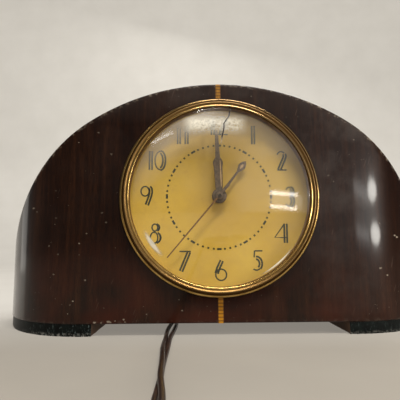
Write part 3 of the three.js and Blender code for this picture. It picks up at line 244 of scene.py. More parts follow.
def veneer(name, seed, nicks=(), front=True):
    """Dark mahogany veneer whose grain runs along the second way of its UV run."""
    p = Paint(name, Coat_Roughness=0.11, Coat_IOR=1.5, IOR=1.45, Specular_IOR_Level=0.1)
    x, y, z = p.axes()
    shift = (seed, seed * 0.7, 0)
    broad = p.noise((0.05, 0.006, 1), 3, 0.5, shift, "run", 0.6)
    figure = p.noise((0.35, 0.02, 1), 4, 0.6, shift, "run", 0.4)
    pores = p.noise((3.2, 0.16, 1), 3, 0.6, shift, "run")
    tone = figure * 0.55 + broad * 0.45
    wood = tone.ramp((0.3, (0.0040, 0.0012, 0.0006)), (0.5, (0.0145, 0.0043, 0.0014)),
                     (0.7, (0.034, 0.0112, 0.0038)))
    wood = wood.stained(pores.band(0.46, 0.66) * 0.7, (0.0022, 0.0009, 0.0006))
    low = z.band(62, 12) * x.band(60, 105, 1.0, 0.3)
    rosy = p.noise(0.03, 3, shift=(seed, 3, 1)).band(0.36, 0.6)
    wood = wood.stained(low * rosy * 0.7, (0.042, 0.0068, 0.0018))
    # Painted shade: the far right end is darkened where its lacquer would mirror a dark room.
    wood = wood.stained(x.band(103, 113) * 0.5, (0.007, 0.0018, 0.0008))
    # Grey veil over the right side and along the top: partly dust, partly a painted sheen for the reflection
    # of a dim light to the right. It also roughens the lacquer.
    dust = p.noise(0.045, 5, 0.65, (2, seed, 5)).band(0.42, 0.72)
    dust_and_sheen = dust * z.band(20, 120, 0.3, 1.0) * (x.band(20, 80, 0.15, 1.0) * x.band(111, 98))
    dust_and_sheen = p.largest(dust_and_sheen, z.band(132, 152) * dust.band(0, 1, 0.35, 0.8))
    wood = wood.stained(dust_and_sheen * 0.5, (0.066, 0.052, 0.045))
    clump = p.noise(0.04, 2, shift=(9, seed, 0)).band(0.5, 0.56)
    small = (p.cells(0.27, (0, seed, 2)) < 0.06) * clump
    marks = p.largest(p.cells(0.11, (seed, 0, 0)) < 0.03, small * 0.5)
    ragged = p.noise(1.1, 2)
    for nick_x, nick_z, size, strength in nicks:
        away = p.distance(x - nick_x, (z - nick_z) * 1.4) + (ragged - 0.5) * 1.6
        marks = p.largest(marks, away.band(size, size * 0.6, 0, strength))
    torn = p.noise(0.35, 4, 0.75, (seed, 8, 8))
    if front:
        aside = p.largest(abs(x) - FLAT_X, 0)
        ahead = p.largest(BEND_R + FRONT_Y - y, 0)
        rim = (BEND_R - p.distance(aside, ahead)).band(2.2, 0.9)
    else:
        rim = y.band(DEPTH + FRONT_Y - 1.6, DEPTH + FRONT_Y - 0.7)
    rim *= p.distance(x, z - FOOT_H).band(ARCH_R - 2.4, ARCH_R - 0.6) * abs(x).band(140, 126)
    foot_edge = (z - FOOT_H).band(2.6, 0.6) * torn.band(0.53, 0.58)
    marks = p.largest(marks, rim * torn.band(0.52, 0.6) * 0.75, foot_edge * 0.12)
    wood = wood.stained(marks * 0.65, (0.34, 0.28, 0.21))
    slant = p.add("Mapping", {"Vector": p.add("UVMap", uv_map="run"), "Rotation": (0, 0, 1.2),
                              "Scale": (0.018, 0.0011, 1)}, vector_type="TEXTURE")
    scratches = p.noise_at(slant, 2).band(0.68, 0.72) * clump
    wood = wood.stained(scratches * 0.3, (0.12, 0.08, 0.06))
    polish = x.band(107, 114, 0.34, 0.12) * x.band(-125.5, -127.5, 1, 2.6) if front else 0.34
    ripple = p.noise((0.06, 0.03, 1), 2, 0.5, shift, "run")
    return p.done(Base_Color=wood, Roughness=dust_and_sheen.band(0, 1, 0.33, 0.52), Coat_Weight=polish,
                  Normal=p.bump(pores * -0.6 + marks * -1.5, 0.35, 0.06),
                  Coat_Normal=p.bump(ripple, 0.25, 0.35))


def plain_wood(name, dark, light, along):
    """Bare wood; along is how its grain is stretched in X, Y and Z."""
    p = Paint(name, Roughness=0.75)
    lines = p.noise(along, 4, 0.6, twist=0.5)
    tone = lines * 0.6 + p.noise([0.12 * a for a in along], 2) * 0.4
    return p.done(Base_Color=tone.ramp((0.32, dark), (0.66, light)), Normal=p.bump(lines, 0.5, 0.12))


def ebonised():
    """Green-black paint on the feet, chipped to the wood and filler along the lower edge."""
    p = Paint("ebonised_paint", Coat_Weight=0.1, Coat_Roughness=0.3, Coat_IOR=1.3, Specular_IOR_Level=0.08)
    x, _, z = p.axes()
    nearer = abs(x).band(130, 108, 0.04, 1.0)
    streaks = p.noise((1.44, 1.44, 0.32), 3, 0.75, turn=(0, 0.3, 0)).band(0.585, 0.65)
    worn = streaks * nearer * x.band(0, 10, 1.0, 0.25)
    edge = p.noise(0.65, 3, 0.7).band(0.5, 0.6) * z.band(2.4, 0.2) * (nearer * x.band(0, 10, 1.0, 0.35))
    color = p.noise(0.2, 3).ramp((0.35, (0.0016, 0.0022, 0.0020)), (0.7, (0.0045, 0.0068, 0.0060)))
    color = color.stained(worn * 0.8, (0.12, 0.155, 0.15)).stained(edge, (0.42, 0.41, 0.37))
    return p.done(Base_Color=color, Roughness=worn.band(0, 1, 0.4, 0.75),
                  Normal=p.bump(worn + edge, 0.6, -0.15))


def inlay():
    """A light strip with dark cross bars and a dark line along each edge."""
    p = Paint("inlay_marquetry", Coat_Weight=0.15, Coat_Roughness=0.2, Roughness=0.5, Specular_IOR_Level=0.2)
    x, _, z = p.axes()
    bars = z.wave(2.1).band(0.1, 0.75)
    wood = p.noise((1.5, 1.5, 0.3)).ramp((0.3, (0.21, 0.090, 0.0065)), (0.7, (0.37, 0.165, 0.013)))
    wood = wood.stained(z.band(60, 30) * 0.6, (0.52, 0.21, 0.006))
    wood = wood.stained(bars * 0.62, (0.055, 0.019, 0.006))
    wood = wood.stained(abs(x).band(1.25, 1.5) * 0.75, (0.05, 0.02, 0.01))
    return p.done(Base_Color=wood, Normal=p.bump(bars, 0.2, 0.05))


def bezel_brass():
    """Yellow brass, browned by tarnish and painted shade in its groove, on the inner slope, on its outer
    flank and under its lip, and darkened at its top right by painted shade.
    """
    p = Paint("bezel_brass", Metallic=1.0)
    x, _, z = p.axes()
    radius = p.distance(x, z - DIAL_Z)
    stain = p.noise(0.12, 5, 0.65)
    fine = p.noise(1.2)
    brass = stain.ramp((0.3, (0.36, 0.21, 0.06)), (0.55, (0.57, 0.37, 0.12)), (0.75, (0.72, 0.50, 0.19)))
    # Groove, inner slope, outer flank and the lip's underside are browned below: partly tarnish, partly
    # painted shade.
    groove = radius.band(59.45, 59.8) * radius.band(61.75, 61.4)
    slope = radius.band(59.1, 58.8) * radius.band(57.55, 57.8)
    rim = radius.band(62.4, 62.7)
    inside = radius.band(56.65, 56.55)
    tarnish_and_shade = p.largest(groove * 0.9, slope * 0.9, rim * 0.8, inside)
    # Painted shade: the ring's top right is browned so that it mirrors the lamps less brightly.
    shaded_top_right = ((z - DIAL_Z) * 0.8 + x * 0.6).band(10, 50)
    crest = radius.band(58.5, 58.9) * radius.band(61.1, 60.7)
    brass = brass.stained(shaded_top_right * 0.88, (0.23, 0.15, 0.075)).stained(crest * 0.8, (0.24, 0.145, 0.058))
    brass = brass.stained(tarnish_and_shade * fine.band(0.2, 0.6, 0.8, 1.0), (0.15, 0.078, 0.024))
    rough = stain.band(0.3, 0.75, 0.26, 0.15) + p.largest(tarnish_and_shade, crest) * 0.16
    return p.done(Base_Color=brass, Roughness=rough, Normal=p.bump(fine, 0.06, 0.02))


def metal(name, dark, light, clean, dull, brushed=2):
    """Metal with stains; clean and dull are how rough its light and dark places are."""
    p = Paint(name, Metallic=1.0)
    stain = p.noise(0.2, 4, 0.6)
    return p.done(Base_Color=stain.ramp((0.3, dark), (0.7, light)),
                  Roughness=stain.band(0.3, 0.7, dull, clean), Normal=p.bump(p.noise(brushed, 2), 0.25, 0.02))


def dial_gold():
    """Golden printed lacquer, mottled and browned with age, paler towards its rim; painted shade darkens its
    upper right and painted light brightens its left.
    """
    p = Paint("dial_lacquer", Coat_Weight=0.1, Coat_Roughness=0.4)
    x, _, z = p.axes()
    lift = z - DIAL_Z
    radius = p.distance(x, lift)
    cloud = p.noise(0.03, 4, 0.55, (1.3, 0, 0.4))
    grain = p.noise(0.4, 4, 0.7)
    fox = p.noise(0.16, 4, 0.7, (7, 2, 4)).band(0.6, 0.74)
    gold = cloud.ramp((0.3, (0.50, 0.313, 0.034)), (0.5, (0.575, 0.374, 0.045)),
                      (0.72, (0.625, 0.425, 0.060)))
    gold = gold.stained(radius.band(36, 16) * 0.45, (0.47, 0.295, 0.050))
    gold = gold.stained(radius.band(50, 57.5) * 0.4, (0.64, 0.415, 0.045))
    gold = gold.stained(lift.band(-10, -48) * 0.35, (0.65, 0.435, 0.052))
    # Painted shade: the upper right of the dial is darkened, as under the bezel's shadow.
    gold = gold.stained((x * 0.75 + lift * 1.1).band(-20, 48) * 0.66, (0.37, 0.245, 0.040))
    # Painted light: the left of the dial is brightened.
    gold = gold.stained(x.band(-8, -50) * 0.6, (0.70, 0.465, 0.052))
    gold = gold.stained(fox * 0.35, (0.40, 0.22, 0.045))
    gold = gold.stained(grain.band(0.35, 0.65) * 0.1, (0.36, 0.22, 0.05))
    return p.done(Base_Color=gold, Roughness=cloud.band(0.3, 0.7, 0.45, 0.6),
                  Normal=p.bump(grain, 0.12, 0.05))


def print_ink(name, dark, light):
    p = Paint(name, Roughness=0.6, Specular_IOR_Level=0.2)
    patch = p.noise(0.7, 4, 0.7)
    return p.done(Base_Color=patch.ramp((0.3, dark), (0.72, light)), Normal=p.bump(patch, 0.2, 0.03))


def hand_paint(name, dark, light, rim, metallic=0.0):
    p = Paint(name, Roughness=0.5, Metallic=metallic)
    patch = p.noise(0.5, 5, 0.7)
    worn = p.noise(1.4, 4, 0.7, (4, 4, 4)).band(0.58, 0.68)
    color = patch.ramp((0.32, dark), (0.66, light)).stained(worn * 0.5, rim)
    return p.done(Base_Color=color, Normal=p.bump(patch, 0.25, 0.04))


# The crack's turns on the glass: height over the dial's centre, distance to its right
CRACK_PATH = ((30, 0.7), (33.5, 1.17), (36.9, 1.77), (40, 2.63), (42, 2.95), (44.5, 2.9), (47.8, 4.84),
              (49.5, 6.21), (53.4, 7.02))
CRACK_FOOT, CRACK_RISE, CRACK_REACH = 30, 24, 8


def glass():
    """Domed glass: clear, faintly yellow, clouded near the top and with one dark crack; a lamp's glare near
    the top and two short streaks along the rim are painted highlights, and the cloud darkens towards the rim
    as painted shade. Only its front faces mirror."""
    p = Paint("dome_glass", IOR=1.5)
    x, _, z = p.axes()
    high = z - DIAL_Z
    radius = p.distance(x, high)
    turn = p.math("ARCTAN2", high, x)
    # glare is a lamp's glare painted into the glass near its top: a painted highlight in its colour and
    # cloud.
    glare = high.band(36, 42) * high.band(51, 47) * abs(x + 2.5).band(21, 14)
    speck = p.noise(0.7, 4, 0.7).band(0.38, 0.56, 0.2, 1.0)
    top = high.band(20, 50) * radius.band(54.2, 52.2)
    side = (high - x).band(44, 68) * radius.band(54.6, 53)
    soil = p.noise(0.07, 5, 0.7, (3, 1, 2)).band(0.4, 0.8)
    cloud = soil * 0.07 + top * 0.25 + side * 0.27 + glare * speck * 0.25
    stops = [((rise - CRACK_FOOT) / CRACK_RISE, (across / CRACK_REACH,) * 3) for rise, across in CRACK_PATH]
    line = high.band(CRACK_FOOT, CRACK_FOOT + CRACK_RISE).ramp(*stops)
    crack = abs(x - line * CRACK_REACH).band(0.62, 0.34) * high.band(30.5, 36)

    def painted_streak(at_radius, width, at_turn, reach):
        """A short painted highlight along the rim: a lamp's streak of reflection painted into the glass."""
        shape = abs(radius - at_radius).band(width, 0) * abs(turn - at_turn).band(reach, 0)
        return p.math("MULTIPLY", shape, 2.2, clamp=True)

    # Two short bright streaks along the rim: painted highlights.
    painted_streaks = p.largest(painted_streak(51.3, 1.9, -2.517, 0.2), painted_streak(54.7, 0.7, -0.88, 0.24))
    # The cloud's colour is darker towards the rim: painted shade of the bezel.
    film = radius.band(52.5, 46).ramp((0, (0.40, 0.345, 0.27)), (1, (0.56, 0.49, 0.39)))
    film = film.stained(p.largest(glare, painted_streaks), (0.95, 0.90, 0.76)).stained(crack, (0.02, 0.012, 0.01))
    p.done(Base_Color=film, Roughness=cloud.band(0.1, 0.5, 0.06, 0.3))
    body = p.math("ADD", cloud + painted_streaks * 0.75, crack, clamp=True)
    shine = p.add("Fresnel", {"IOR": 1.65}) * (1.0 - p.add("NewGeometry", out="Backfacing"))
    gloss = p.add("BsdfGlossy", {"Roughness": 0.07, "Color": (1, 1, 1)})
    clear = p.add("BsdfTransparent", {"Color": (0.985, 0.96, 0.90)})
    lens = p.add("MixShader", {0: shine, 1: clear, 2: gloss})
    whole = p.add("MixShader", {0: body, 1: lens, 2: Value(p, p.shader.outputs[0])})
    p.put(p.tree.nodes["Material Output"].inputs["Surface"], whole)
    return p.material


def glass_rear():
    """The dome's inner face: nearly clear, with a faint film of dust."""
    p = Paint("dome_glass_rear", Roughness=0.3, Specular_IOR_Level=0.2)
    film = p.noise(0.2, 4, 0.6)
    return p.done(Base_Color=film.ramp((0.3, (0.40, 0.36, 0.30)), (0.7, (0.55, 0.50, 0.42))),
                  Alpha=film.band(0.35, 0.8, 0.004, 0.03))


def plastic(name, dark, light, rough=0.35, coat=0.3, speckle=0.6):
    p = Paint(name, Coat_Weight=coat, Coat_Roughness=0.2)
    cloud = p.noise(speckle, 4, 0.65)
    return p.done(Base_Color=cloud.ramp((0.35, dark), (0.68, light)), Normal=p.bump(cloud, 0.15, 0.05),
                  Roughness=cloud.band(0.3, 0.7, rough - 0.08, rough + 0.12))


def pressed_board():
    p = Paint("pressed_board", Roughness=0.8)
    tone = p.noise((0.9, 0.9, 0.35), 5, 0.75, turn=(0, 0.5, 0)) * 0.5
    tone += p.noise((0.35, 0.9, 0.9), 4, 0.7, turn=(0, 0.4, 0)) * 0.5
    color = tone.ramp((0.36, (0.085, 0.046, 0.022)), (0.62, (0.19, 0.115, 0.06)))
    color = color.stained(p.noise(0.025, 4).band(0.5, 0.7) * 0.4, (0.06, 0.034, 0.018))
    return p.done(Base_Color=color, Normal=p.bump(tone, 0.5, 0.12))


def laminations():
    p = Paint("core_laminations", Metallic=0.8, Roughness=0.55)
    rust = p.noise(0.3, 4, 0.7)
    return p.done(Base_Color=rust.ramp((0.35, (0.13, 0.13, 0.14)), (0.7, (0.2, 0.13, 0.09))),
                  Normal=p.bump(p.axes()[1].wave(0.6), 0.5, 0.08))


def cloth_tape():
    p = Paint("coil_tape", Roughness=0.6, Coat_Weight=0.2, Coat_Roughness=0.3)
    weave = p.noise((2.5, 0.8, 0.8))
    return p.done(Base_Color=weave.ramp((0.3, (0.16, 0.08, 0.025)), (0.7, (0.32, 0.18, 0.07))),
                  Normal=p.bump(p.axes()[0].wave(3.5) + weave, 0.5, 0.1))


def rubber():
    """Brown flex covering, dulled by age, with fine marks along it."""
    p = Paint("cord_rubber", IOR=1.5, Coat_Weight=0.3, Coat_Roughness=0.22, Specular_IOR_Level=0.3)
    patch = p.noise(0.12, 4, 0.6)
    fine = p.noise(1.3, 3, 0.6)
    color = patch.ramp((0.32, (0.0085, 0.0032, 0.0024)), (0.55, (0.018, 0.0072, 0.0048)),
                       (0.75, (0.042, 0.019, 0.0115)))
    return p.done(Base_Color=color.stained(fine.band(0.56, 0.7) * 0.25, (0.09, 0.055, 0.036)),
                  Roughness=patch.band(0.3, 0.7, 0.4, 0.6), Normal=p.bump(fine, 0.3, 0.06))


# Nicks in the front's veneer: across, height, size, strength
NICKS = [
    (-121.5, 79.9, 1.0, 0.7), (-118.3, 77.3, 0.8, 0.4), (-103.6, 72.7, 0.9, 0.2), (-104.5, 90.3, 0.8, 0.2),
    (-83.3, 62.6, 0.6, 0.5), (-87.7, 56.6, 0.6, 0.8), (-108.1, 55.2, 0.7, 0.4), (-101.4, 50.0, 0.7, 0.25),
    (-104.0, 37.5, 0.8, 0.45), (-83.4, 34.0, 0.8, 0.55), (-90.7, 21.3, 0.7, 1.0), (-92.6, 19.1, 0.5, 0.4),
    (-77.2, 8.5, 1.0, 1.0), (-73.1, 8.3, 0.8, 0.6), (-68.9, 9.0, 1.1, 1.0), (-67.6, 8.5, 0.8, 0.9),
    (-64.7, 9.3, 0.6, 0.9), (-59.3, 10.2, 0.7, 0.9), (-58.6, 8.7, 0.6, 0.6), (-23.6, 15.1, 0.6, 0.9),
    (-71.3, 69.5, 0.8, 0.3), (-73.9, 75.5, 0.8, 0.25), (-68.7, 113.1, 0.9, 0.3), (-77.4, 127.4, 0.8, 0.4),
    (100.9, 39.7, 1.0, 0.8), (105.5, 35.3, 0.8, 1.0), (113.6, 60.2, 0.9, 1.0), (115.2, 59.2, 0.9, 0.9),
    (87.4, 121.7, 0.6, 0.6), (70.0, 98.5, 0.7, 0.3),
]
MAHOGANY = veneer("mahogany_front", 0.0, NICKS)
MAHOGANY_ARCH = veneer("mahogany_arch", 11.0, front=False)
EBONY = ebonised()
BROWN_WOOD = plain_wood("brown_end_grain", (0.045, 0.02, 0.010), (0.14, 0.07, 0.034), (1.2, 1.2, 0.5))
PLY_WOOD = plain_wood("inner_ply", (0.19, 0.11, 0.055), (0.36, 0.24, 0.135), (0.06, 0.9, 1.4))
BEZEL_BRASS = bezel_brass()
ARBOR_STEEL = metal("arbor_steel", (0.05, 0.042, 0.036), (0.11, 0.095, 0.08), 0.4, 0.6)
BLADE_BRASS = metal("blade_brass", (0.42, 0.29, 0.11), (0.68, 0.5, 0.22), 0.22, 0.42, (0.3, 4, 4))
INK = print_ink("dial_ink", (0.016, 0.020, 0.009), (0.050, 0.056, 0.026))
DOT_INK = print_ink("dial_dot_ink", (0.034, 0.033, 0.009), (0.090, 0.080, 0.020))
DARK_HAND = hand_paint("dark_hands", (0.040, 0.027, 0.018), (0.125, 0.085, 0.055), (0.28, 0.19, 0.11))
# Lighter paint for the thin raised lines on the hands: painted highlight.
HAND_HIGHLIGHT = hand_paint("hand_painted_highlight", (0.26, 0.17, 0.09), (0.50, 0.34, 0.17), (0.6, 0.42, 0.24))
GILT_HAND = hand_paint("gilt_hand", (0.10, 0.042, 0.008), (0.20, 0.095, 0.02), (0.34, 0.19, 0.05), 0.2)
# Dark brass for the spacer ring: painted shade, as its wall lies in the bezel's shadow.
REHAUT_BRASS = metal("rehaut_brass", (0.16, 0.085, 0.03), (0.30, 0.17, 0.06), 0.35, 0.55)
GLASS = glass()
GLASS_REAR = glass_rear()
PLUG_RUBBER = plastic("plug_rubber", (0.016, 0.0075, 0.0052), (0.045, 0.022, 0.014), 0.5, 0.12, 0.3)

SLOT_PAINTS = {
    "mahogany": MAHOGANY,
    "ebonised_wood": EBONY,
    "raw_wood": plain_wood("raw_softwood", (0.30, 0.19, 0.095), (0.52, 0.37, 0.215), (0.05, 0.9, 0.9)),
    "inlay_wood": inlay(),
    "pressed_board": pressed_board(),
    "brass": metal("movement_brass", (0.45, 0.29, 0.09), (0.72, 0.52, 0.21), 0.22, 0.4),
    "steel": metal("bright_steel", (0.42, 0.42, 0.43), (0.62, 0.62, 0.63), 0.25, 0.42),
    "crystal_glass": GLASS,
    "dial_gold": dial_gold(),
    "dark_hands": DARK_HAND,
    "gilt_hand": GILT_HAND,
    "iron": laminations(),
    "can_metal": metal("copper_can", (0.33, 0.15, 0.075), (0.55, 0.29, 0.15), 0.25, 0.42),
    "bobbin_fibre": plastic("bobbin_fibre", (0.14, 0.045, 0.028), (0.24, 0.09, 0.05), 0.65, 0.0),
    "coil_tape": cloth_tape(),
    "knob_plastic": plastic("knob_plastic", (0.012, 0.006, 0.004), (0.045, 0.022, 0.013)),
    "cord_rubber": rubber(),
    "tie_wire": metal("tie_band", (0.10, 0.10, 0.10), (0.2, 0.2, 0.2), 0.35, 0.5),
}
for part in frame["record"]["subparts"]:
    held = nodes[part["node"]].data.materials
    held.clear()
    held.append(SLOT_PAINTS[part["material_slot"]])
for blade in ("plug_blade_1", "plug_blade_2"):
    nodes[blade].data.materials[0] = BLADE_BRASS
nodes["second_arbor"].data.materials[0] = ARBOR_STEEL


# Mesh helpers
class Shell:
    """Points and faces of one piece, in millimetres, with a UV run where it is given."""

    def __init__(self):
        self.points, self.faces, self.kinds, self.runs = [], [], [], []

    def point(self, x, d, z, run=(0, 0)):
        self.points.append(place(x, d, z))
        self.runs.append(run)
        return len(self.points) - 1

    def ring(self, x, d, z, radius, sides):
        return [self.point(x + radius * c, d, z + radius * s) for c, s in circle(sides)]

    def face(self, *corners, kind=0):
        self.faces.append(corners)
        self.kinds.append(kind)

    def grid(self, rows, kind=0, loop=False):
        """Joins rows of equally many points with quads; a list holds one kind for each step."""
        for step, (first, second) in enumerate(zip(rows, rows[1:])):
            for i in range(len(first) if loop else len(first) - 1):
                j = (i + 1) % len(first)
                corners = dict.fromkeys((first[i], first[j], second[j], second[i]))
                if len(corners) > 2:
                    self.face(*corners, kind=kind[step] if isinstance(kind, list) else kind)

    def fan(self, ring, x, d, z, kind=0):
        middle = self.point(x, d, z)
        for i, corner in enumerate(ring):
            self.face(corner, ring[(i + 1) % len(ring)], middle, kind=kind)

    def turn(self, profile, x, z, sides, kind=0):
        """Turns a closed profile of radius and depth points round an axis that runs front to back."""
        rings = []
        for radius, depth in profile:
            if radius < 1e-6:
                rings.append([self.point(x, depth, z)] * sides)
            else:
                rings.append(self.ring(x, depth, z, radius, sides))
        self.grid([*rings, rings[0]], kind, loop=True)

    def build(self, name, body, slot, stands_for=(), materials=(), smooth=40, merge=0.004):
        """Makes the piece; without materials it wears its slot's own."""
        mesh = bpy.data.meshes.new(name)
        mesh.from_pydata([tuple(p) for p in self.points], [], self.faces)
        mesh.polygons.foreach_set("material_index", self.kinds)
        layer = mesh.uv_layers.new(name="run")
        for loop in mesh.loops:
            u, v = self.runs[loop.vertex_index]
            layer.data[loop.index].uv = (u * MM, v * MM)
        work = bmesh.new()
        work.from_mesh(mesh)
        bmesh.ops.remove_doubles(work, verts=work.verts, dist=merge * MM)
        bmesh.ops.dissolve_degenerate(work, edges=work.edges, dist=1e-7)
        bmesh.ops.recalc_face_normals(work, faces=work.faces)
        work.to_mesh(mesh)
        work.free()
        for paint in materials or [SLOT_PAINTS[slot]]:
            mesh.materials.append(paint)
        piece = new_object(name, mesh)
        mesh.polygons.foreach_set("use_smooth", [True] * len(mesh.polygons))
        mesh.set_sharp_from_angle(angle=math.radians(smooth))
        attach(piece, body)
        if stands_for:
            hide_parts(*stands_for)
        return piece


def turned(name, profile, middle, slot, node, sides, materials=(), kind=0, smooth=40):
    """A turned piece of the case."""
    shell = Shell()
    shell.turn(profile, *middle, sides, kind)
    return shell.build(name, "case", slot, [node], materials, smooth)


def arc(cx, cy, rx, ry, start, end, count=14):
    """Points of an elliptic arc, angles in degrees."""
    turns = [math.radians(a) for a in spread(start, end, count)]
    return [(cx + rx * math.cos(a), cy + ry * math.sin(a)) for a in turns]


def smooth(low, high, value):
    t = min(1, max(0, (value - low) / (high - low)))
    return t * t * (3 - 2 * t)


# Mains cord: its resting route from the strain relief to the coil, then the coil
CORD_EXIT = (15.5, 95.3, 22.2)
CORD_W, LOBE_R = 5.2, 1.3
LIE, LEAD_X = 1.4, -27.4
CORD_ROUTE = [
    CORD_EXIT, (15.5, 100.8, 22.2), (12.6, 113, 20.2), (4.5, 121.6, 15.5), (-7.5, 125, 9.6),
    (-19.2, 121.6, 4.6), (-27.6, 113, 2), (-30.6, 100, LIE), (-30.6, 80, LIE), (-30.2, 56, LIE),
    (-30.5, 32, LIE), (-31.3, 12, LIE), (-31.7, -10, LIE), (-31.4, -35, LIE), (-30.6, -60, LIE),
    (-29.4, -90, LIE), (-28.2, -112, LIE), (LEAD_X, -135, LIE), (LEAD_X, -149.7, LIE), (LEAD_X, -155.7, LIE),
]
COIL_TURNS_IN, COIL_TURNS_OUT = 4, 4.25
COIL_INNER_R, LOOP_STEP = 21.7, 3.4
COIL_X, COIL_D = LEAD_X + COIL_INNER_R + LOOP_STEP * COIL_TURNS_IN, -178.0
COIL_LOW_Z, LAYER_RISE = 3.6, 5.8
COIL_STEPS = 36
LEAD_IN, LEAD_OUT = 22, 26
PLUG_T = 14.0
FLAT = math.pi / 2
APART = LOBE_R - 0.02


def through(points, gap):
    """A centripetal curve through the points, sampled about every gap."""
    places = [Vector(p) for p in points]
    places = [2 * places[0] - places[1], *places, 2 * places[-1] - places[-2]]
    out = []
    for p0, p1, p2, p3 in zip(places, places[1:], places[2:], places[3:]):
        t1 = (p1 - p0).length ** 0.5
        t2 = t1 + (p2 - p1).length ** 0.5
        t3 = t2 + (p3 - p2).length ** 0.5
        steps = max(2, round((p2 - p1).length / gap))
        for i in range(steps):
            t = t1 + (t2 - t1) * i / steps
            a1 = p0.lerp(p1, t / t1)
            a2 = p1.lerp(p2, (t - t1) / (t2 - t1))
            a3 = p2.lerp(p3, (t - t2) / (t3 - t2))
            b1 = a1.lerp(a2, t / t2)
            b2 = a2.lerp(a3, (t - t1) / (t3 - t1))
            out.append(b1.lerp(b2, (t - t1) / (t2 - t1)))
    return [*out, places[-2]]


def cord_line():
    """Middle line of the whole cord as (point, lean of its flat, spacing of its wires)."""
    line = []
    for p in through(CORD_ROUTE, 4.5):
        lean, apart = FLAT, APART
        if p.x < -25:
            lean -= FLAT * smooth(-12, -76, p.y) + FLAT * smooth(-78, -128, p.y)
            apart += 0.85 * smooth(44, 22, p.y) * (1 - smooth(14, -14, p.y))
            apart += 0.3 * smooth(-88, -104, p.y) * (1 - smooth(-112, -128, p.y))
            rise = LOBE_R * abs(math.cos(lean)) if p.z < LIE + 0.05 else 0
            p = Vector((p.x, p.y, p.z + rise))
        line.append((p, lean, apart))
    entry = [(0.72, LIE, FLAT), (0.5, LIE + 0.6, FLAT * 0.66), (0.3, 3.1, FLAT * 0.25), (0.12, COIL_LOW_Z, 0)]
    for share, z, lean in entry:
        line.append((Vector((LEAD_X, COIL_D + share * LEAD_IN, z)), lean - math.pi, APART))
    for i in range(round((COIL_TURNS_IN + COIL_TURNS_OUT) * COIL_STEPS) + 1):
        turn = i / COIL_STEPS
        radius = COIL_INNER_R + LOOP_STEP * abs(turn - COIL_TURNS_IN)
        z = COIL_LOW_Z + LAYER_RISE * smooth(COIL_TURNS_IN - 0.25, COIL_TURNS_IN + 0.25, turn)
        angle = math.pi + turn * 2 * math.pi
        point = Vector((COIL_X + radius * math.cos(angle), COIL_D + radius * math.sin(angle), z))
        line.append((point, -math.pi, APART))
    last = line[-1][0]
    leave = [(0.15, last.z, 0), (0.35, last.z - 0.8, FLAT * 0.3), (0.55, PLUG_T / 2 + 0.4, FLAT * 0.75),
             (0.75, PLUG_T / 2, FLAT), (1.08, PLUG_T / 2, FLAT)]
    for share, z, lean in leave:
        line.append((Vector((last.x + share * LEAD_OUT, last.y, z)), lean - math.pi, APART))
    return line


def mains_cord():
    """Two wires side by side in one covering, pulled a little apart where they come out."""
    line = cord_line()
    shell = Shell()
    sides = 12
    for side in (-1, 1):
        rings = []
        for i, (point, lean, apart) in enumerate(line):
            ahead = (line[min(i + 1, len(line) - 1)][0] - line[max(i - 1, 0)][0]).normalized()
            across = ahead.cross(Vector((0, 0, 1))).normalized()
            over = across.cross(ahead).normalized()
            wide = across * math.sin(lean) + over * math.cos(lean)
            thin = across * math.cos(lean) - over * math.sin(lean)
            middle = point + wide * apart * side
            rings.append([shell.point(*(middle + (wide * c + thin * s) * LOBE_R)) for c, s in circle(sides)])
        shell.grid(rings, loop=True)
        for ring in (rings[0], rings[-1]):
            middle = sum((shell.points[c] for c in ring), Vector()) / sides / MM
            shell.fan(ring, middle.x, middle.y - FRONT_Y, middle.z)
    piece = shell.build("mains_cord", "case", "cord_rubber", ["cord", "cord_coil"], merge=0)
    return piece, [place(*p) for p, _, _ in line]


def plug_shell():
    """Moulded plug, round in the neck and flat at its face, with finger grips."""
    shell = Shell()
    x0 = COIL_X + LEAD_OUT + GAP
    middle_d, middle_z = COIL_D - (COIL_INNER_R + LOOP_STEP * COIL_TURNS_OUT), PLUG_T / 2
    length = 30.0
    stations = [0, 0.4, 1.2, 3, *range(5, 13), 13.5, 15, 16.5, 18, 20, 23, 26, 28, 29, 29.7, length]
    rings = []
    for s in stations:
        wide = 4.2 + 1.6 * smooth(0, 12, s) + 6.1 * smooth(11, 19, s)
        high = 3.6 + 3.3 * smooth(1, 14, s)
        if 4.5 < s < 12.5:
            wide -= 0.45 * (0.5 - 0.5 * math.cos(math.pi * (s - 4)))
        end = min(smooth(-0.9, 1.2, s), smooth(length + 1.1, length - 1.4, s))
        wide, high = wide * (0.8 + 0.2 * end), high * (0.82 + 0.18 * end)
        power = 2 / (2.2 + 2.6 * smooth(6, 18, s))
        outline = [[math.copysign(abs(v) ** power, v) for v in turn] for turn in circle(40)]
        rings.append([shell.point(x0 + s, middle_d + c * wide, middle_z + t * high) for c, t in outline])
    shell.grid(rings, loop=True)
    shell.fan(rings[0], x0, middle_d, middle_z)
    shell.fan(rings[-1], x0 + length, middle_d, middle_z)
    return shell.build("plug_shell", "case", "cord_rubber", ["plug_body"], [PLUG_RUBBER], 50)


def cord_band():
    """The flat band that holds the wound cord together."""
    x0, x1 = COIL_X + 19.4, COIL_X + 38.45
    high, round_r, thick = 13.0, 2.4, 0.6
    shell = Shell()
    corners = ((x1 - round_r, round_r, -90), (x1 - round_r, high - round_r, 0),
               (x0 + round_r, high - round_r, 90), (x0 + round_r, round_r, 180))
    outline = [(cx, cz, math.radians(start + 15 * i)) for cx, cz, start in corners for i in range(7)]
    rows = []
    for inward, half in ((0, 1.75), (0, -1.75), (0.12, -2.0), (thick, -2.0), (thick, 2.0), (0.12, 2.0)):
        r = round_r - inward
        rows.append([shell.point(cx + r * math.cos(a), COIL_D + half, cz + r * math.sin(a))
                     for cx, cz, a in outline])
    shell.grid([*rows, rows[0]], loop=True)
    return shell.build("cord_band", "case", "tie_wire", ["cord_tie"])


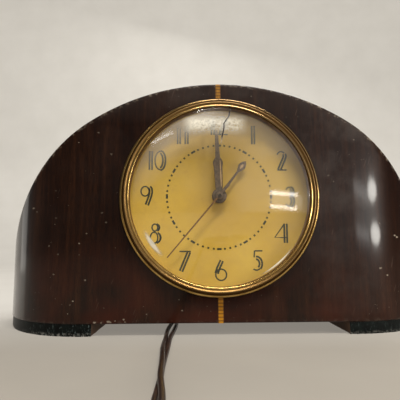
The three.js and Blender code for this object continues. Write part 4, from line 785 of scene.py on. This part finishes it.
def boot():
    """Ribbed strain relief, tapering from the back board to the cord."""
    profile = [(0, 67.8), (6.3, 67.8), (6.5, 68.1), (6.5, 69.5), (6.3, 69.7), (5, 69.7), (5, 73.3),
               (6.2, 73.3), (6.5, 73.6), (6.5, 74.9), (6.1, 75.3), (5.2, 75.5)]
    start, end, ribs = 76.6, 94.2, 6
    for i in range(ribs):
        for share, drop in ((0.0, 0.0), (0.1, 0.12), (0.5, 0.12), (0.62, 0.55), (0.9, 0.55)):
            t = (i + share) / ribs
            profile.append((5.0 - 1.6 * t - drop, start + (end - start) * t))
    profile += [(3.35, end), (3.2, 94.75), (2.95, 95), (0, 95)]
    turned("boot", profile, CORD_EXIT[::2], "cord_rubber", "strain_relief", 48, [PLUG_RUBBER], smooth=35)


cord, cord_path = mains_cord()
plug = plug_shell()
band = cord_band()
boot()
cord_length = sum((b - a).length for a, b in zip(cord_path, cord_path[1:]))
place(*CORD_EXIT)


# Case
def arch_top(x, inwards=0.0):
    return FOOT_H + math.sqrt(max((ARCH_R - inwards) ** 2 - x * x, 0))


EASE = [(0.9, 0.0), (0.45, 0.121), (0.15, 0.402), (0.0, 0.9)]  # rounded edge: inwards, set back


def plan_columns():
    """Places along the bent front: across, depth, outward direction, run along the veneer."""
    xs = [HOLE_R * math.sin(math.radians(a)) for a in range(-90, 91, 4)]
    xs = sorted({round(x, 6) for x in [*xs, HOLE_R, 0.0]})
    out = spread(FLAT_X, HOLE_R, 6)[:-1]
    columns = [(x, 0.0, 0.0, -1.0, x) for x in [-x for x in out] + xs + out[::-1]]
    ends = []
    for a in spread(0, math.pi / 2, 28)[1:]:
        s, c = math.sin(a), math.cos(a)
        ends.append((FLAT_X + BEND_R * s, BEND_R - BEND_R * c, s, -c, FLAT_X + BEND_R * a))
    for d in (BEND_R + 5, DEPTH - 0.5, DEPTH):
        ends.append((SIDE_X, d, 1.0, 0.0, FLAT_X + BEND_R * math.pi / 2 + d - BEND_R))
    left = [(-x, d, -nx, nd, -s) for x, d, nx, nd, s in reversed(ends)]
    return left + columns + ends


def case_front():
    shell = Shell()
    share = (DIAL_Z - FOOT_H) / (arch_top(HOLE_R) - FOOT_H)
    columns = plan_columns()
    outer, inner, edges = [], [], []
    for x, d, nx, nd, s in columns:

        def spot(back, z):
            return shell.point(x - nx * back, min(d - nd * back, DEPTH), z, (s, z))

        inside = abs(x) < HOLE_R - 1e-6
        reach = math.sqrt(HOLE_R ** 2 - x * x) if inside else 0
        for rows, sunk in ((outer, 0), (inner, PLY)):
            wall_x = x - nx * sunk
            if sunk:
                bottom = [(FOOT_H + e, PLY) for e, _ in reversed(EASE)]
                rim = [(arch_top(wall_x, e), PLY) for e, _ in EASE]
            else:
                bottom = [(FOOT_H + e, q) for e, q in reversed(EASE)]
                rim = [(arch_top(x - nx * q, e), q) for e, q in EASE]
            low, high = DIAL_Z - reach, DIAL_Z + reach
            if not inside:
                low = high = FOOT_H + share * (arch_top(wall_x) - FOOT_H)
            lower = bottom + [(z, sunk) for z in spread(bottom[-1][0], low, 10)[1:]]
            upper = [(z, sunk) for z in spread(high, rim[0][0], 10)[:-1]] + rim
            extra = 0.5 if d == DEPTH and not sunk else 0.0
            rows.append([spot(q + extra, z) for z, q in [*lower, *upper]])
        edges.append([outer[-1][-1], *(spot(q, arch_top(x - nx * q)) for q in (2.4, 4.2)), inner[-1][-1]])
    count = len(lower)
    for rows, kind in ((outer, 0), (inner, 1)):
        shell.grid([row[:count] for row in rows], kind)
        shell.grid([row[count:] for row in rows], kind)
    shell.grid([[row[0] for row in rows] for rows in (outer, inner)], 1)
    for i in range(len(columns) - 1):
        if abs(columns[i][0] + columns[i + 1][0]) < 2 * HOLE_R:
            both = (outer[i], outer[i + 1], inner[i + 1], inner[i])
            for k in (count - 1, count):
                shell.face(*(column[k] for column in both), kind=1)
    shell.grid(edges)
    for i in (0, -1):
        shell.grid([outer[i][:count], inner[i][:count]], 1)
        shell.grid([outer[i][count:], inner[i][count:]], 1)
        shell.face(*edges[i], kind=1)
    shell.build("case_front", "case", "mahogany", ["front_panel"], [MAHOGANY, PLY_WOOD], 50)


def bend_depth(x, inset):
    reach = abs(x) - FLAT_X
    if reach <= 0:
        return inset
    return BEND_R - math.sqrt(max((BEND_R - inset) ** 2 - reach ** 2, 0))


def case_arch():
    """The bent top behind the front panel, its grain running front to back."""
    shell = Shell()
    inset = PLY + GAP
    limit = SIDE_X - inset
    count, steps, ease = 110, 12, 0.8
    outer, inner = [], []
    for i in range(count + 1):
        for rows, radius in ((outer, ARCH_R), (inner, ARCH_R - PLY)):
            start = math.acos(limit / radius)
            a = math.pi - start - (math.pi - 2 * start) * i / count
            x, z = radius * math.cos(a), FOOT_H + radius * math.sin(a)
            first = bend_depth(min(max(x, -limit), limit), inset)
            column = [shell.point(x, d, z, (radius * a, d)) for d in spread(first, DEPTH - ease, steps)]
            if radius == ARCH_R:
                for t in (math.radians(turn) for turn in (30, 60, 90)):
                    sunk = radius - ease * (1 - math.cos(t))
                    column.append(shell.point(sunk * math.cos(a), DEPTH - ease + ease * math.sin(t),
                                              FOOT_H + sunk * math.sin(a), (radius * a, DEPTH)))
            else:
                column.append(shell.point(x, DEPTH, z, (radius * a, DEPTH)))
            rows.append(column)
    shell.grid(outer)
    shell.grid(inner, 1)
    for end, kind in ((0, 0), (-1, 1)):
        shell.grid([[column[end] for column in rows] for rows in (outer, inner)], kind)
    for i in (0, -1):
        a, b = outer[i], inner[i]
        shell.grid([a[:steps + 1], b[:steps + 1]])
        shell.face(*a[steps:], b[-1], b[steps])
    shell.build("case_arch", "case", "mahogany", ["arch_panel"], [MAHOGANY_ARCH, PLY_WOOD], 50)


def case_foot(side, name, node):
    """A block foot under one end, its lower edges worn and chipped."""
    rng = random.Random(5 + side)
    inset, rear = 0.5, DEPTH - 0.5
    outer, radius = SIDE_X - inset, BEND_R - inset
    outline = [(FOOT_INNER_X, d, 1) for d in spread(rear, inset, 24)[:-1]]
    outline += [(x, inset, 0) for x in spread(FOOT_INNER_X, FLAT_X, 4)[:-1]]
    outline += [(x, d, 0) for x, d in arc(FLAT_X, BEND_R, radius, radius, -90, 0, 70)]
    outline += [(outer, d, 0) for d in spread(BEND_R, rear, 6)[1:-1]]
    outline += [(x, rear, 1) for x in spread(outer, FOOT_INNER_X, 20)[:-1]]
    levels = [0, 0.25, 0.7, 1.3, 2.1, 3.0, 4.0, 5.0, 6.0, 7.0, FOOT_H]
    chips = [[rng.random() for _ in outline] for _ in levels]
    shell = Shell()
    count = len(outline)
    rows = []
    for level, z in enumerate(levels):
        row = []
        for i, (x, d, _) in enumerate(outline):
            (ax, ad, _), (bx, bd, _) = outline[i - 1], outline[(i + 1) % count]
            size = math.hypot(bx - ax, bd - ad)
            nx, nd = (bd - ad) / size, (ax - bx) / size
            corner = math.exp(-((x - FOOT_INNER_X) ** 2 + (d - inset) ** 2) / 500)
            worn = 0.35 * max(0, 1 - z / 1.3) + chips[level][i] * (0.12 + 0.55 * corner) * math.exp(-z / 2.2)
            if z >= 7:
                worn = 0
            row.append(shell.point(side * (x - nx * worn), d - nd * worn, z, (x, z)))
        rows.append(row)
    for a, b in zip(rows, rows[1:]):
        for i in range(count):
            j = (i + 1) % count
            shell.face(a[i], a[j], b[j], b[i], kind=outline[i][2])
    for row, z in ((rows[0], 0), (rows[-1], FOOT_H)):
        shell.fan(row, side * 112, 38, z, kind=1)
    shell.build(name, "case", "ebonised_wood", [node], [EBONY, BROWN_WOOD], 35)


def inlay_strip(name, node, low, high, at_top):
    """A thin strip let into the front; it stands a hair proud of the veneer."""
    shell = Shell()
    xs = [-1.8, -1.7, -0.9, 0, 0.9, 1.7, 1.8]
    proud, deep = 0.05, 0.95
    rows = [[shell.point(x, 0.12 if abs(x) > 1.75 else -proud, z) for x in xs] for z in spread(low, high, 16)]
    if at_top:
        for e, q in EASE[1:]:
            rows.append([shell.point(x, q - proud + (0.1 if abs(x) > 1.75 else 0), arch_top(x, e + 0.02))
                         for x in xs])
    back = [[shell.point(x, deep, z) for x in xs] for z in (low, arch_top(0, 0.02) if at_top else high)]
    shell.grid(rows)
    shell.grid(back)
    shell.face(*rows[0], *reversed(back[0]))
    shell.face(*rows[-1], *reversed(back[1]))
    for k in (0, -1):
        shell.face(*(row[k] for row in rows), back[1][k], back[0][k])
    shell.build(name, "case", "inlay_wood", [node], smooth=30)


case_front()
case_arch()
case_foot(-1, "foot_left", "left_foot")
case_foot(1, "foot_right", "right_foot")
inlay_strip("inlay_strip_top", "inlay_top", DIAL_Z + HOLE_R, arch_top(0, 0.9), True)
inlay_strip("inlay_strip_bottom", "inlay_bottom", FOOT_H + 0.05, DIAL_Z - HOLE_R, False)


# Bezel, glass and dial
BEZEL_LINE = [
    (59.2, 5.6), (59.2, 0), (63, 0), (63.1, -0.3), (63.1, -1.5), (63.02, -2.2), (62.75, -2.8),
    (62.3, -3.25), (61.8, -3.42), (61.35, -3.3), (61.1, -3), (60.95, -2.75), (60.75, -2.7), (60.58, -2.85),
    (60.45, -3.4),
    (60.3, -4.4), (60.12, -5.3), (59.9, -5.95), (59.6, -6.3), (59.25, -6.4), (58.95, -6.28), (58.7, -6.02),
    (58.4, -5.8), (58.05, -5.7), (57.75, -5.76), (57.45, -5.98), (57.1, -6.02), (56.75, -5.9), (56.58, -5.7),
    (56.62, -5.5), (56.9, -5.36), (57.4, -5.3), (58.6, -5.3), (58.6, 5.6),
]
DOME_T = 1.6
PRINT_FRONT, DIAL_FRONT = 2.94, 3.0


def dome(radius, rim, height):
    """Radius and depth points of a shallow dome, from its rim to its top."""
    sphere = (radius ** 2 + height ** 2) / (2 * height)
    return [(r, rim - height + sphere - math.sqrt(sphere ** 2 - r * r)) for r in spread(radius, 0, 24)]


def dial_pieces():
    middle = (0, DIAL_Z)
    turned("bezel_ring", BEZEL_LINE, middle, "brass", "bezel", 192, [BEZEL_BRASS], smooth=60)
    front = dome(DOME_R, DOME_RIM_D, DOME_H)
    rear = dome(DOME_R - DOME_T / 2, DOME_RIM_D + DOME_T, DOME_H)
    line = [*front, *reversed(rear), (58.1, -3.4), (58.2, -3.6), (58.2, -4.8), (58.1, -5)]
    kinds = [0] * len(front) + [1] * (len(line) - len(front))
    turned("glass_dome", line, middle, "crystal_glass", "crystal", 160, [GLASS, GLASS_REAR], kinds, 10)
    line = [(56.9, -3.0), (58.1, -3.0), (58.1, 2.7), (56.9, 2.7), (56.85, 2.6), (56.85, -2.9)]
    turned("rehaut_ring", line, middle, "brass", "spacer_ring", 160, [REHAUT_BRASS])
    line = [(4.6, 3.1), (4.7, DIAL_FRONT), (30, DIAL_FRONT), (58.1, DIAL_FRONT), (58.2, 3.1), (58.2, 3.8),
            (4.6, 3.8)]
    turned("dial_face", line, middle, "dial_gold", "dial", 160)


dial_pieces()


def turned_by(degrees):
    """Turns points clockwise about the dial's middle."""
    cos, sin = math.cos(math.radians(degrees)), math.sin(math.radians(degrees))
    return lambda x, z: (x * cos + z * sin, z * cos - x * sin)


dial_turn = turned_by(0.5)  # the dial sits a hair clockwise in the case


def sideways(line):
    """Each point of a line with its direction to the left; a line that meets its start is closed."""
    closed = line[0] == line[-1]
    out = []
    for i, (x, z) in enumerate(line):
        before = line[i - 1] if i else line[-2 if closed else 0]
        after = line[i + 1] if i < len(line) - 1 else line[1 if closed else -1]
        tx, tz = after[0] - before[0], after[1] - before[1]
        size = math.hypot(tx, tz)
        out.append((x, z, -tz / size, tx / size))
    return out


def ribbon(shell, line, width, middle=(0, 0), kind=0):
    """A flat printed line of that width along points on the dial."""
    rows = []
    for x, z, nx, nz in sideways(line):
        row = []
        for s, d in ((0.5, PRINT_FRONT), (-0.5, PRINT_FRONT), (-0.5, DIAL_FRONT), (0.5, DIAL_FRONT)):
            px, pz = dial_turn(middle[0] + x + s * nx * width, middle[1] + z + s * nz * width)
            row.append(shell.point(px, d, DIAL_Z + pz))
        rows.append(row)
    shell.grid(rows, kind, loop=True)
    if line[0] != line[-1]:
        shell.face(*rows[0], kind=kind)
        shell.face(*rows[-1], kind=kind)


# Each numeral's thin and double strokes, about its own middle
ONE = ([], [[(0, 6.2), (0, -6.2)]])
ZERO = ([arc(0, 0, 3.4, 6.0, 90, 270, 20)], [arc(0, 0, 2.5, 5.5, 90, -90, 20)])
TWO = ([arc(-0.3, 3.3, 2.7, 2.8, 165, 40), [(-3.0, -6.0), (3.2, -6.0)]],
       [[(1.7, 4.6), (2.1, 3.2), (1.3, 0.8), (-1.7, -5.9)]])
THREE = ([arc(-0.2, 3.3, 2.3, 2.8, 160, 70), arc(-0.4, -2.8, 2.5, 3.3, -70, -150)],
         [arc(-0.2, 3.2, 2.0, 2.6, 70, -70), arc(-0.4, -2.8, 2.4, 3.1, 80, -70)])
FOUR = ([[(2.0, 6.0), (-4.3, -2.7), (4.1, -2.8)]], [[(2.7, 6.1), (2.7, -6.1)]])
FIVE = ([[(-2.0, 6.0), (3.0, 6.0)], [(-2.0, 6.0), (-2.3, 1.9)], arc(-0.9, -2.1, 3.3, 3.9, -50, -125)],
        [arc(-0.9, -2.0, 2.8, 3.6, 95, -50)])
SIX = ([arc(0.3, -2.6, 3.4, 3.5, 0, 360, 28)], [[(0.7, 6.2), (-1.3, 1.9), (-2.6, -1.8)]])
SEVEN = ([[(-3.6, 5.6), (3.6, 5.6)]], [[(2.5, 5.3), (-2.5, -6.7)]])
EIGHT = ([arc(-0.3, 3.5, 1.8, 2.2, 0, 360, 24), arc(-0.75, -2.95, 2.4, 3.5, 0, 360, 28),
          arc(0.1, 3.45, 2.6, 2.45, 75, -62), arc(0.1, 3.45, 2.3, 2.3, 60, -50),
          arc(0.25, -2.95, 3.35, 3.5, 68, -78), arc(0.25, -2.95, 2.95, 3.3, 58, -64)], [])
NINE = ([arc(-0.9, 3.3, 2.6, 3.1, 0, 360, 26)],
        [[(1.7, 6.0), (2.7, 4.6), (2.85, 2.8), (2.4, 0.4), (1.5, -2.3), (0.3, -5.6)]])
NUMERALS = {
    1: [(ONE, -1)], 2: [(TWO, 0.2)], 3: [(THREE, -1.4)], 4: [(FOUR, -1)], 5: [(FIVE, 0.8)], 6: [(SIX, 0.8)],
    7: [(SEVEN, 1.8)], 8: [(EIGHT, 0)], 9: [(NINE, 0.3)], 10: [(ONE, -3.5), (ZERO, 2.6)],
    11: [(ONE, -2.6), (ONE, 2.4)], 12: [(ONE, -3.9), (TWO, 2.6)],
}
RING_R, NUMERAL_R = 33.4, 46.8
THIN_STROKE, DOUBLE_STROKE, DOUBLE_APART = 0.9, 1.2, 0.84


def dial_print():
    marks = Shell()
    for hour, glyphs in NUMERALS.items():
        a = math.radians(30 * hour)
        for (thin, double), aside in glyphs:
            middle = (NUMERAL_R * math.sin(a) + aside, NUMERAL_R * math.cos(a))
            for line in thin:
                ribbon(marks, line, THIN_STROKE, middle)
            for line in double:
                for way in (DOUBLE_APART, -DOUBLE_APART):
                    beside = [(x + nx * way, z + nz * way) for x, z, nx, nz in sideways(line)]
                    ribbon(marks, beside, DOUBLE_STROKE, middle)
    marks.build("dial_numerals", "case", "dial_gold", (), [INK], 30, merge=0)
    dots = Shell()
    for minute in range(60):
        a = math.radians(6 * minute)
        half, width, kind = (0.62, 1.2, 1) if minute % 5 else (1.45, 1.3, 0)
        middle = (RING_R * math.sin(a), RING_R * math.cos(a))
        reach = (half * math.cos(a), -half * math.sin(a))
        ribbon(dots, [(-reach[0], -reach[1]), reach], width, middle, kind)
    dots.build("dial_minute_dots", "case", "dial_gold", (), [INK, DOT_INK], 30, merge=0)


dial_print()


# Hands
def hand_plate(shell, half, rear, turn, thick, kind=0, aside=0.0, ease=0.16, raise_by=0.0):
    """A flat blade from its half widths, with eased edges."""
    rear -= raise_by
    sides = [*half, *((-w, z) for w, z in reversed(half))]
    rows = []
    for inwards, depth in ((0.0, rear), (0.0, rear - thick + ease), (ease, rear - thick)):
        row = []
        for w, z in sides:
            px, pz = turn(math.copysign(max(abs(w) - inwards, 0.05), w) + aside, z)
            row.append(shell.point(px, depth, DIAL_Z + pz))
        rows.append(row)
    shell.grid(rows, kind, loop=True)
    for row in (rows[0], rows[-1]):
        for k in range(len(half) - 1):
            shell.face(row[k], row[k + 1], row[-k - 2], row[-k - 1], kind=kind)


def hub_ring(shell, rear, inner, outer, dish, kind=0):
    front = rear - 0.5
    profile = [(inner, rear), (outer, rear), (outer, front + 0.15), (outer - 0.15, front),
               ((inner + outer) / 2, front - dish), (inner + 0.12, front - dish * 0.6), (inner, front)]
    shell.turn(profile, 0, DIAL_Z, 48, kind)


# The blades' half widths, each with its distance from the dial's middle
HOUR_BLADE = [(1.1, 3.2), (0.75, 12), (0.7, 19.6), (1.5, 21.2), (2.35, 23.4), (2.2, 24.9), (1.3, 26.8),
              (0.15, 28)]
# The lighter plates laid along the hour and minute hands are painted highlight lines; the minute hand's sits
# to the right of its middle.
HOUR_HIGHLIGHT_LINE = [(0.1, 21.6), (0.5, 22.4), (0.8, 23.6), (0.7, 24.6), (0.1, 25.6)]
MINUTE_BLADE = [(1.9, 2.8), (2.3, 6), (2.6, 14), (2.75, 18), (3.2, 20.4), (3.1, 22), (2.2, 23.6),
                (1.5, 24.8), (1.3, 30), (1.15, 38), (0.8, 41.6), (0.15, 43)]
MINUTE_HIGHLIGHT_LINE = [(0.1, 5.5), (0.3, 7), (0.34, 14), (0.34, 20), (0.28, 21.6), (0.1, 22.6)]
SECOND_BLADE = [(0.55, 2), (0.46, 26), (0.34, 50.5)]
SECOND_TAIL = [(0.9, -9), (0.8, -5), (0.55, 2)]


def hands():
    """Each hand has its turn from 12, its rear depth, its plates, its hub and its materials."""
    plain = {"thick": 0.5}
    thin = {"thick": 0.4, "ease": 0.1}
    raised = {"raise_by": 0.48, "thick": 0.05, "ease": 0.02, "kind": 1}
    hour_plates = [(HOUR_BLADE, plain), (HOUR_HIGHLIGHT_LINE, raised)]
    minute_plates = [(MINUTE_BLADE, plain), (MINUTE_HIGHLIGHT_LINE, {**raised, "aside": 1.45})]
    second_plates = [(SECOND_BLADE, thin), (SECOND_TAIL, {**thin, "kind": 1})]
    table = {
        "hour": (37.7, -0.1, hour_plates, (3.1, 4.7, 0.12), [DARK_HAND, HAND_HIGHLIGHT]),
        "minute": (358, -1.5, minute_plates, (1.9, 4.4, 0.2), [DARK_HAND, HAND_HIGHLIGHT]),
        "second": (220.5, -3.0, second_plates, (0.85, 2.4, 0.15, 1), [GILT_HAND, DARK_HAND]),
    }
    for hand, (degrees, rear, plates, hub, materials) in table.items():
        shell = Shell()
        for half, how in plates:
            hand_plate(shell, half, rear, turned_by(degrees), **how)
        hub_ring(shell, rear, *hub)
        slot = "gilt_hand" if hand == "second" else "dark_hands"
        shell.build(f"{hand}_pointer", f"{hand}_group", slot, [f"{hand}_hand"], materials, 30, merge=0)


hands()


# Back: setting knob and slotted screws
def knob_shell():
    shell = Shell()
    x0, sides, flutes, flute_deep = 24.3, 160, 20, 0.24
    near_d, bore_d, end_d, bore_r = 74.0, 81.1, 82.3, 1.62
    # Radius, depth and how strongly the flutes show there
    steps = [(7.2, near_d, 0), (7.7, 74.3, 0.3), (7.75, 75.0, 1), (7.75, 81.2, 1), (7.55, 82.2, 0.8),
             (7.1, 82.85, 0.3), (6.4, 83.0, 0), (5.2, 82.9, 0), (4.8, 82.5, 0), (2.4, end_d, 0)]
    rows = []
    for radius, depth, flute in steps:
        row = []
        for i, (c, s) in enumerate(circle(sides)):
            r = radius + flute_deep * flute * math.cos(flutes * 2 * math.pi * i / sides)
            row.append(shell.point(x0 + r * c, depth, DIAL_Z + r * s))
        rows.append(row)
    bore = [shell.ring(x0, depth, DIAL_Z, bore_r, sides) for depth in (bore_d, near_d)]
    shell.grid([*bore, *rows], loop=True)
    shell.fan(rows[-1], x0, end_d, DIAL_Z)
    shell.fan(bore[0], x0, bore_d, DIAL_Z)
    shell.build("knob_shell", "setting_group", "knob_plastic", ["set_knob"], smooth=45)


def slotted_screw(name, node, x, z, angle):
    """A round-headed wood screw with a slot across its head."""
    profile = [(0, 58.5), (1.5, 60.2), (1.5, 73), (3.4, 73), (3.4, 73.3), (3.1, 73.95), (2.4, 74.5),
               (1.3, 74.85), (0, 74.95)]
    piece = turned(name, profile, (x, z), "steel", node, 48, smooth=35)
    cutter = bmesh.new()
    bmesh.ops.create_cube(cutter, size=1)
    slot_long, slot_deep, slot_wide, head_d = 8 * MM, 1.6 * MM, 0.8 * MM, 75.0
    lie = Matrix.Translation(place(x, head_d, z)) @ Matrix.Rotation(angle, 4, "Y")
    lie @= Matrix.Diagonal((slot_long, slot_deep, slot_wide, 1))
    bmesh.ops.transform(cutter, matrix=lie, verts=cutter.verts)
    mesh = bpy.data.meshes.new("slot_cutter")
    cutter.to_mesh(mesh)
    cutter.free()
    tool = new_object("slot_cutter", mesh)
    change = piece.modifiers.new("slot", "BOOLEAN")
    change.operation, change.object, change.solver = "DIFFERENCE", tool, "EXACT"
    bpy.context.view_layer.update()
    seen = piece.evaluated_get(bpy.context.evaluated_depsgraph_get())
    made = bpy.data.meshes.new_from_object(seen)
    piece.modifiers.clear()
    piece.data = made
    made.set_sharp_from_angle(angle=math.radians(35))
    bpy.data.objects.remove(tool)


knob_shell()
SCREWS = [(-137.3, 24.1, 0.5), (137.3, 24.1, 1.3), (0, 145.8, -0.3)]
for number, (x, z, angle) in enumerate(SCREWS, 1):
    slotted_screw(f"slotted_screw_{number}", f"back_screw_{number}", x, z, angle)


# Floor, backdrop and light; lengths of the stage and its lamps are in metres
def stage_floor():
    """A pale floor that curves up into a backdrop well behind the clock; in front of the clock its colour is
    darker, a painted shadow.
    """
    p = Paint("studio_cloth", Roughness=0.9, Specular_IOR_Level=0.1)
    _, y, z = p.axes()
    weave = p.noise(0.012)
    # Painted shadow: the floor's colour is darker near the clock and paler further back.
    near = weave.ramp((0.3, (0.155, 0.137, 0.112)), (0.7, (0.18, 0.16, 0.132)))
    far = weave.ramp((0.3, (0.29, 0.282, 0.263)), (0.7, (0.32, 0.312, 0.292)))
    wall = weave.ramp((0.3, (0.40, 0.39, 0.365)), (0.7, (0.44, 0.43, 0.405)))
    # The floor glows for camera, glossy and transmission rays, a little more further back, which lightens the
    # shade under the case.
    rays = p.make("LightPath").outputs
    seen = p.largest(*(Value(p, rays[f"Is {kind} Ray"]) for kind in ("Camera", "Glossy", "Transmission")))
    p.done(Base_Color=near.stained(y.band(-70, 80), far.stained(z.band(0, 300), wall)),
           Emission_Color=(0.62, 0.57, 0.50), Emission_Strength=seen * y.band(-60, 200, 0.35, 0.45))
    near_y, bend_y, bend_r, top_z = -2.5, 0.9, 0.5, 3.0
    line = [(near_y, 0.0), *arc(bend_y, bend_r, bend_r, bend_r, -90, 0, 12), (bend_y + bend_r, top_z)]
    faces = [(2 * i, 2 * i + 1, 2 * i + 3, 2 * i + 2) for i in range(len(line) - 1)]
    mesh = bpy.data.meshes.new("studio_floor")
    mesh.from_pydata([(x, y, z) for y, z in line for x in (-3.0, 3.0)], [], faces)
    mesh.polygons.foreach_set("use_smooth", [True] * len(mesh.polygons))
    mesh.materials.append(p.material)
    floor = new_object("studio_floor", mesh)


def lamp(name, where, aim, size, power, color=(1, 1, 1), roll=0.0, shape="RECTANGLE"):
    data = bpy.data.lights.new(name, "AREA")
    data.shape = shape
    data.size, data.size_y = size
    data.energy = power
    data.color = color
    light = new_object(name, data)
    light.visible_camera = False
    turn = (Vector(aim) - Vector(where)).to_track_quat("-Z", "Y").to_matrix().to_4x4()
    light.matrix_world = Matrix.Translation(Vector(where)) @ turn @ Matrix.Rotation(roll, 4, "Z")


def bright_lamp(name, hit, way, far, size, radiance, color, roll=0.0, shape="RECTANGLE"):
    """A lamp that lies that way from a mirroring place; its size is what it would be one metre away."""
    wide, high = size[0] * far, size[1] * far
    lamp(name, hit + way * far, hit, (wide, high), math.pi * wide * high * radiance, color, roll, shape)


def glint(name, px, py, size, radiance, roll=0.0):
    """A lamp that shows in the domed glass at a place of the picture."""
    right, up, ahead = camera_axes()
    sight = (ahead * 400 + right * (px - 200) - up * (py - 200)).normalized()
    centre = place(0, DOME_RIM_D - DOME_H + DOME_SPHERE_R, DIAL_Z)
    offset = CAMERA - centre
    b = sight.dot(offset)
    reach = -b - math.sqrt(b * b - offset.length_squared + (DOME_SPHERE_R * MM) ** 2)
    hit = CAMERA + sight * reach
    normal = (hit - centre).normalized()
    way = (sight - 2 * sight.dot(normal) * normal).normalized()
    bright_lamp(name, hit, way, 1.3, size, radiance, (1, 0.98, 0.94), math.radians(roll))


def toward(azimuth, elevation):
    """A direction from the clock; azimuth goes rightwards from straight in front."""
    a, e = math.radians(azimuth), math.radians(elevation)
    return Vector((math.cos(e) * math.sin(a), -math.cos(e) * math.cos(a), math.sin(e)))


def bend_glint(name, across, height, azimuth, elevation, size, radiance, far, deep=1.4, shape="ELLIPSE"):
    """A lamp that shows in one of the case's bends."""
    bright_lamp(name, place(across, deep, height), toward(azimuth, elevation), far, size, radiance,
                (1, 0.97, 0.9), shape=shape)


def studio_air():
    """Even light all round; reflections see it dim, with a soft brighter patch to the right."""
    world = bpy.data.worlds.new("studio_air")
    bpy.context.scene.world = world
    world.use_nodes = True
    air = Nodes(world.node_tree)
    way = air.add("TexCoord", out="Generated")
    facing = air.add("VectorMath", {0: way, 1: toward(36, 9)}, "Value", operation="DOT_PRODUCT")
    soft = facing.band(0.84, 0.965, 0.12, 1.0, interpolation_type="SMOOTHERSTEP")
    glossy = air.add("LightPath", out="Is Glossy Ray")
    ground = air.tree.nodes["Background"]
    color = air.add("Mix", {0: glossy, 6: (1.0, 0.975, 0.925), 7: (0.98, 0.94, 0.89)}, 2, data_type="RGBA")
    air.put(ground.inputs["Strength"], air.add("Mix", {0: glossy, 2: 0.6, 3: soft}))
    air.put(ground.inputs["Color"], color)


def lights():
    middle = Vector((0, 0, 0.08))
    lamp("key", middle + toward(15, 58.5) * 1.5, middle, (0.85, 0.2), 22.0, (1, 0.97, 0.92))
    lamp("back_light", middle + toward(160, 52) * 1.5, (0, 0.05, 0.05), (1.2, 0.5), 14.0, (1, 0.97, 0.93))
    glint("ceiling", 214, 122, (0.19, 0.05), 2.4)
    glint("window_upper", 284, 193.5, (0.26, 0.034), 10, -5)
    glint("window_lower", 284, 207.5, (0.26, 0.028), 10, -4)
    glint("window_glow", 286, 200.5, (0.32, 0.12), 1.35, -5)
    glint("streak_upper_left", 162, 137.5, (0.2, 0.022), 11, 36)
    bend_glint("bend_upper", 97.6, 89, 48.5, 7.3, (0.245, 0.12), 30, 0.22)
    bend_glint("bend_lower", 98.4, 61, 50, 1.6, (0.245, 0.11), 30, 0.22)
    bend_glint("bend_left", -127, 45, -110.5, 4, (0.25, 0.3), 0.9, 0.8, 16, "RECTANGLE")
    studio_air()


stage_floor()
lights()

scene = bpy.context.scene
scene.view_settings.view_transform = "Standard"
bpy.context.view_layer.update()
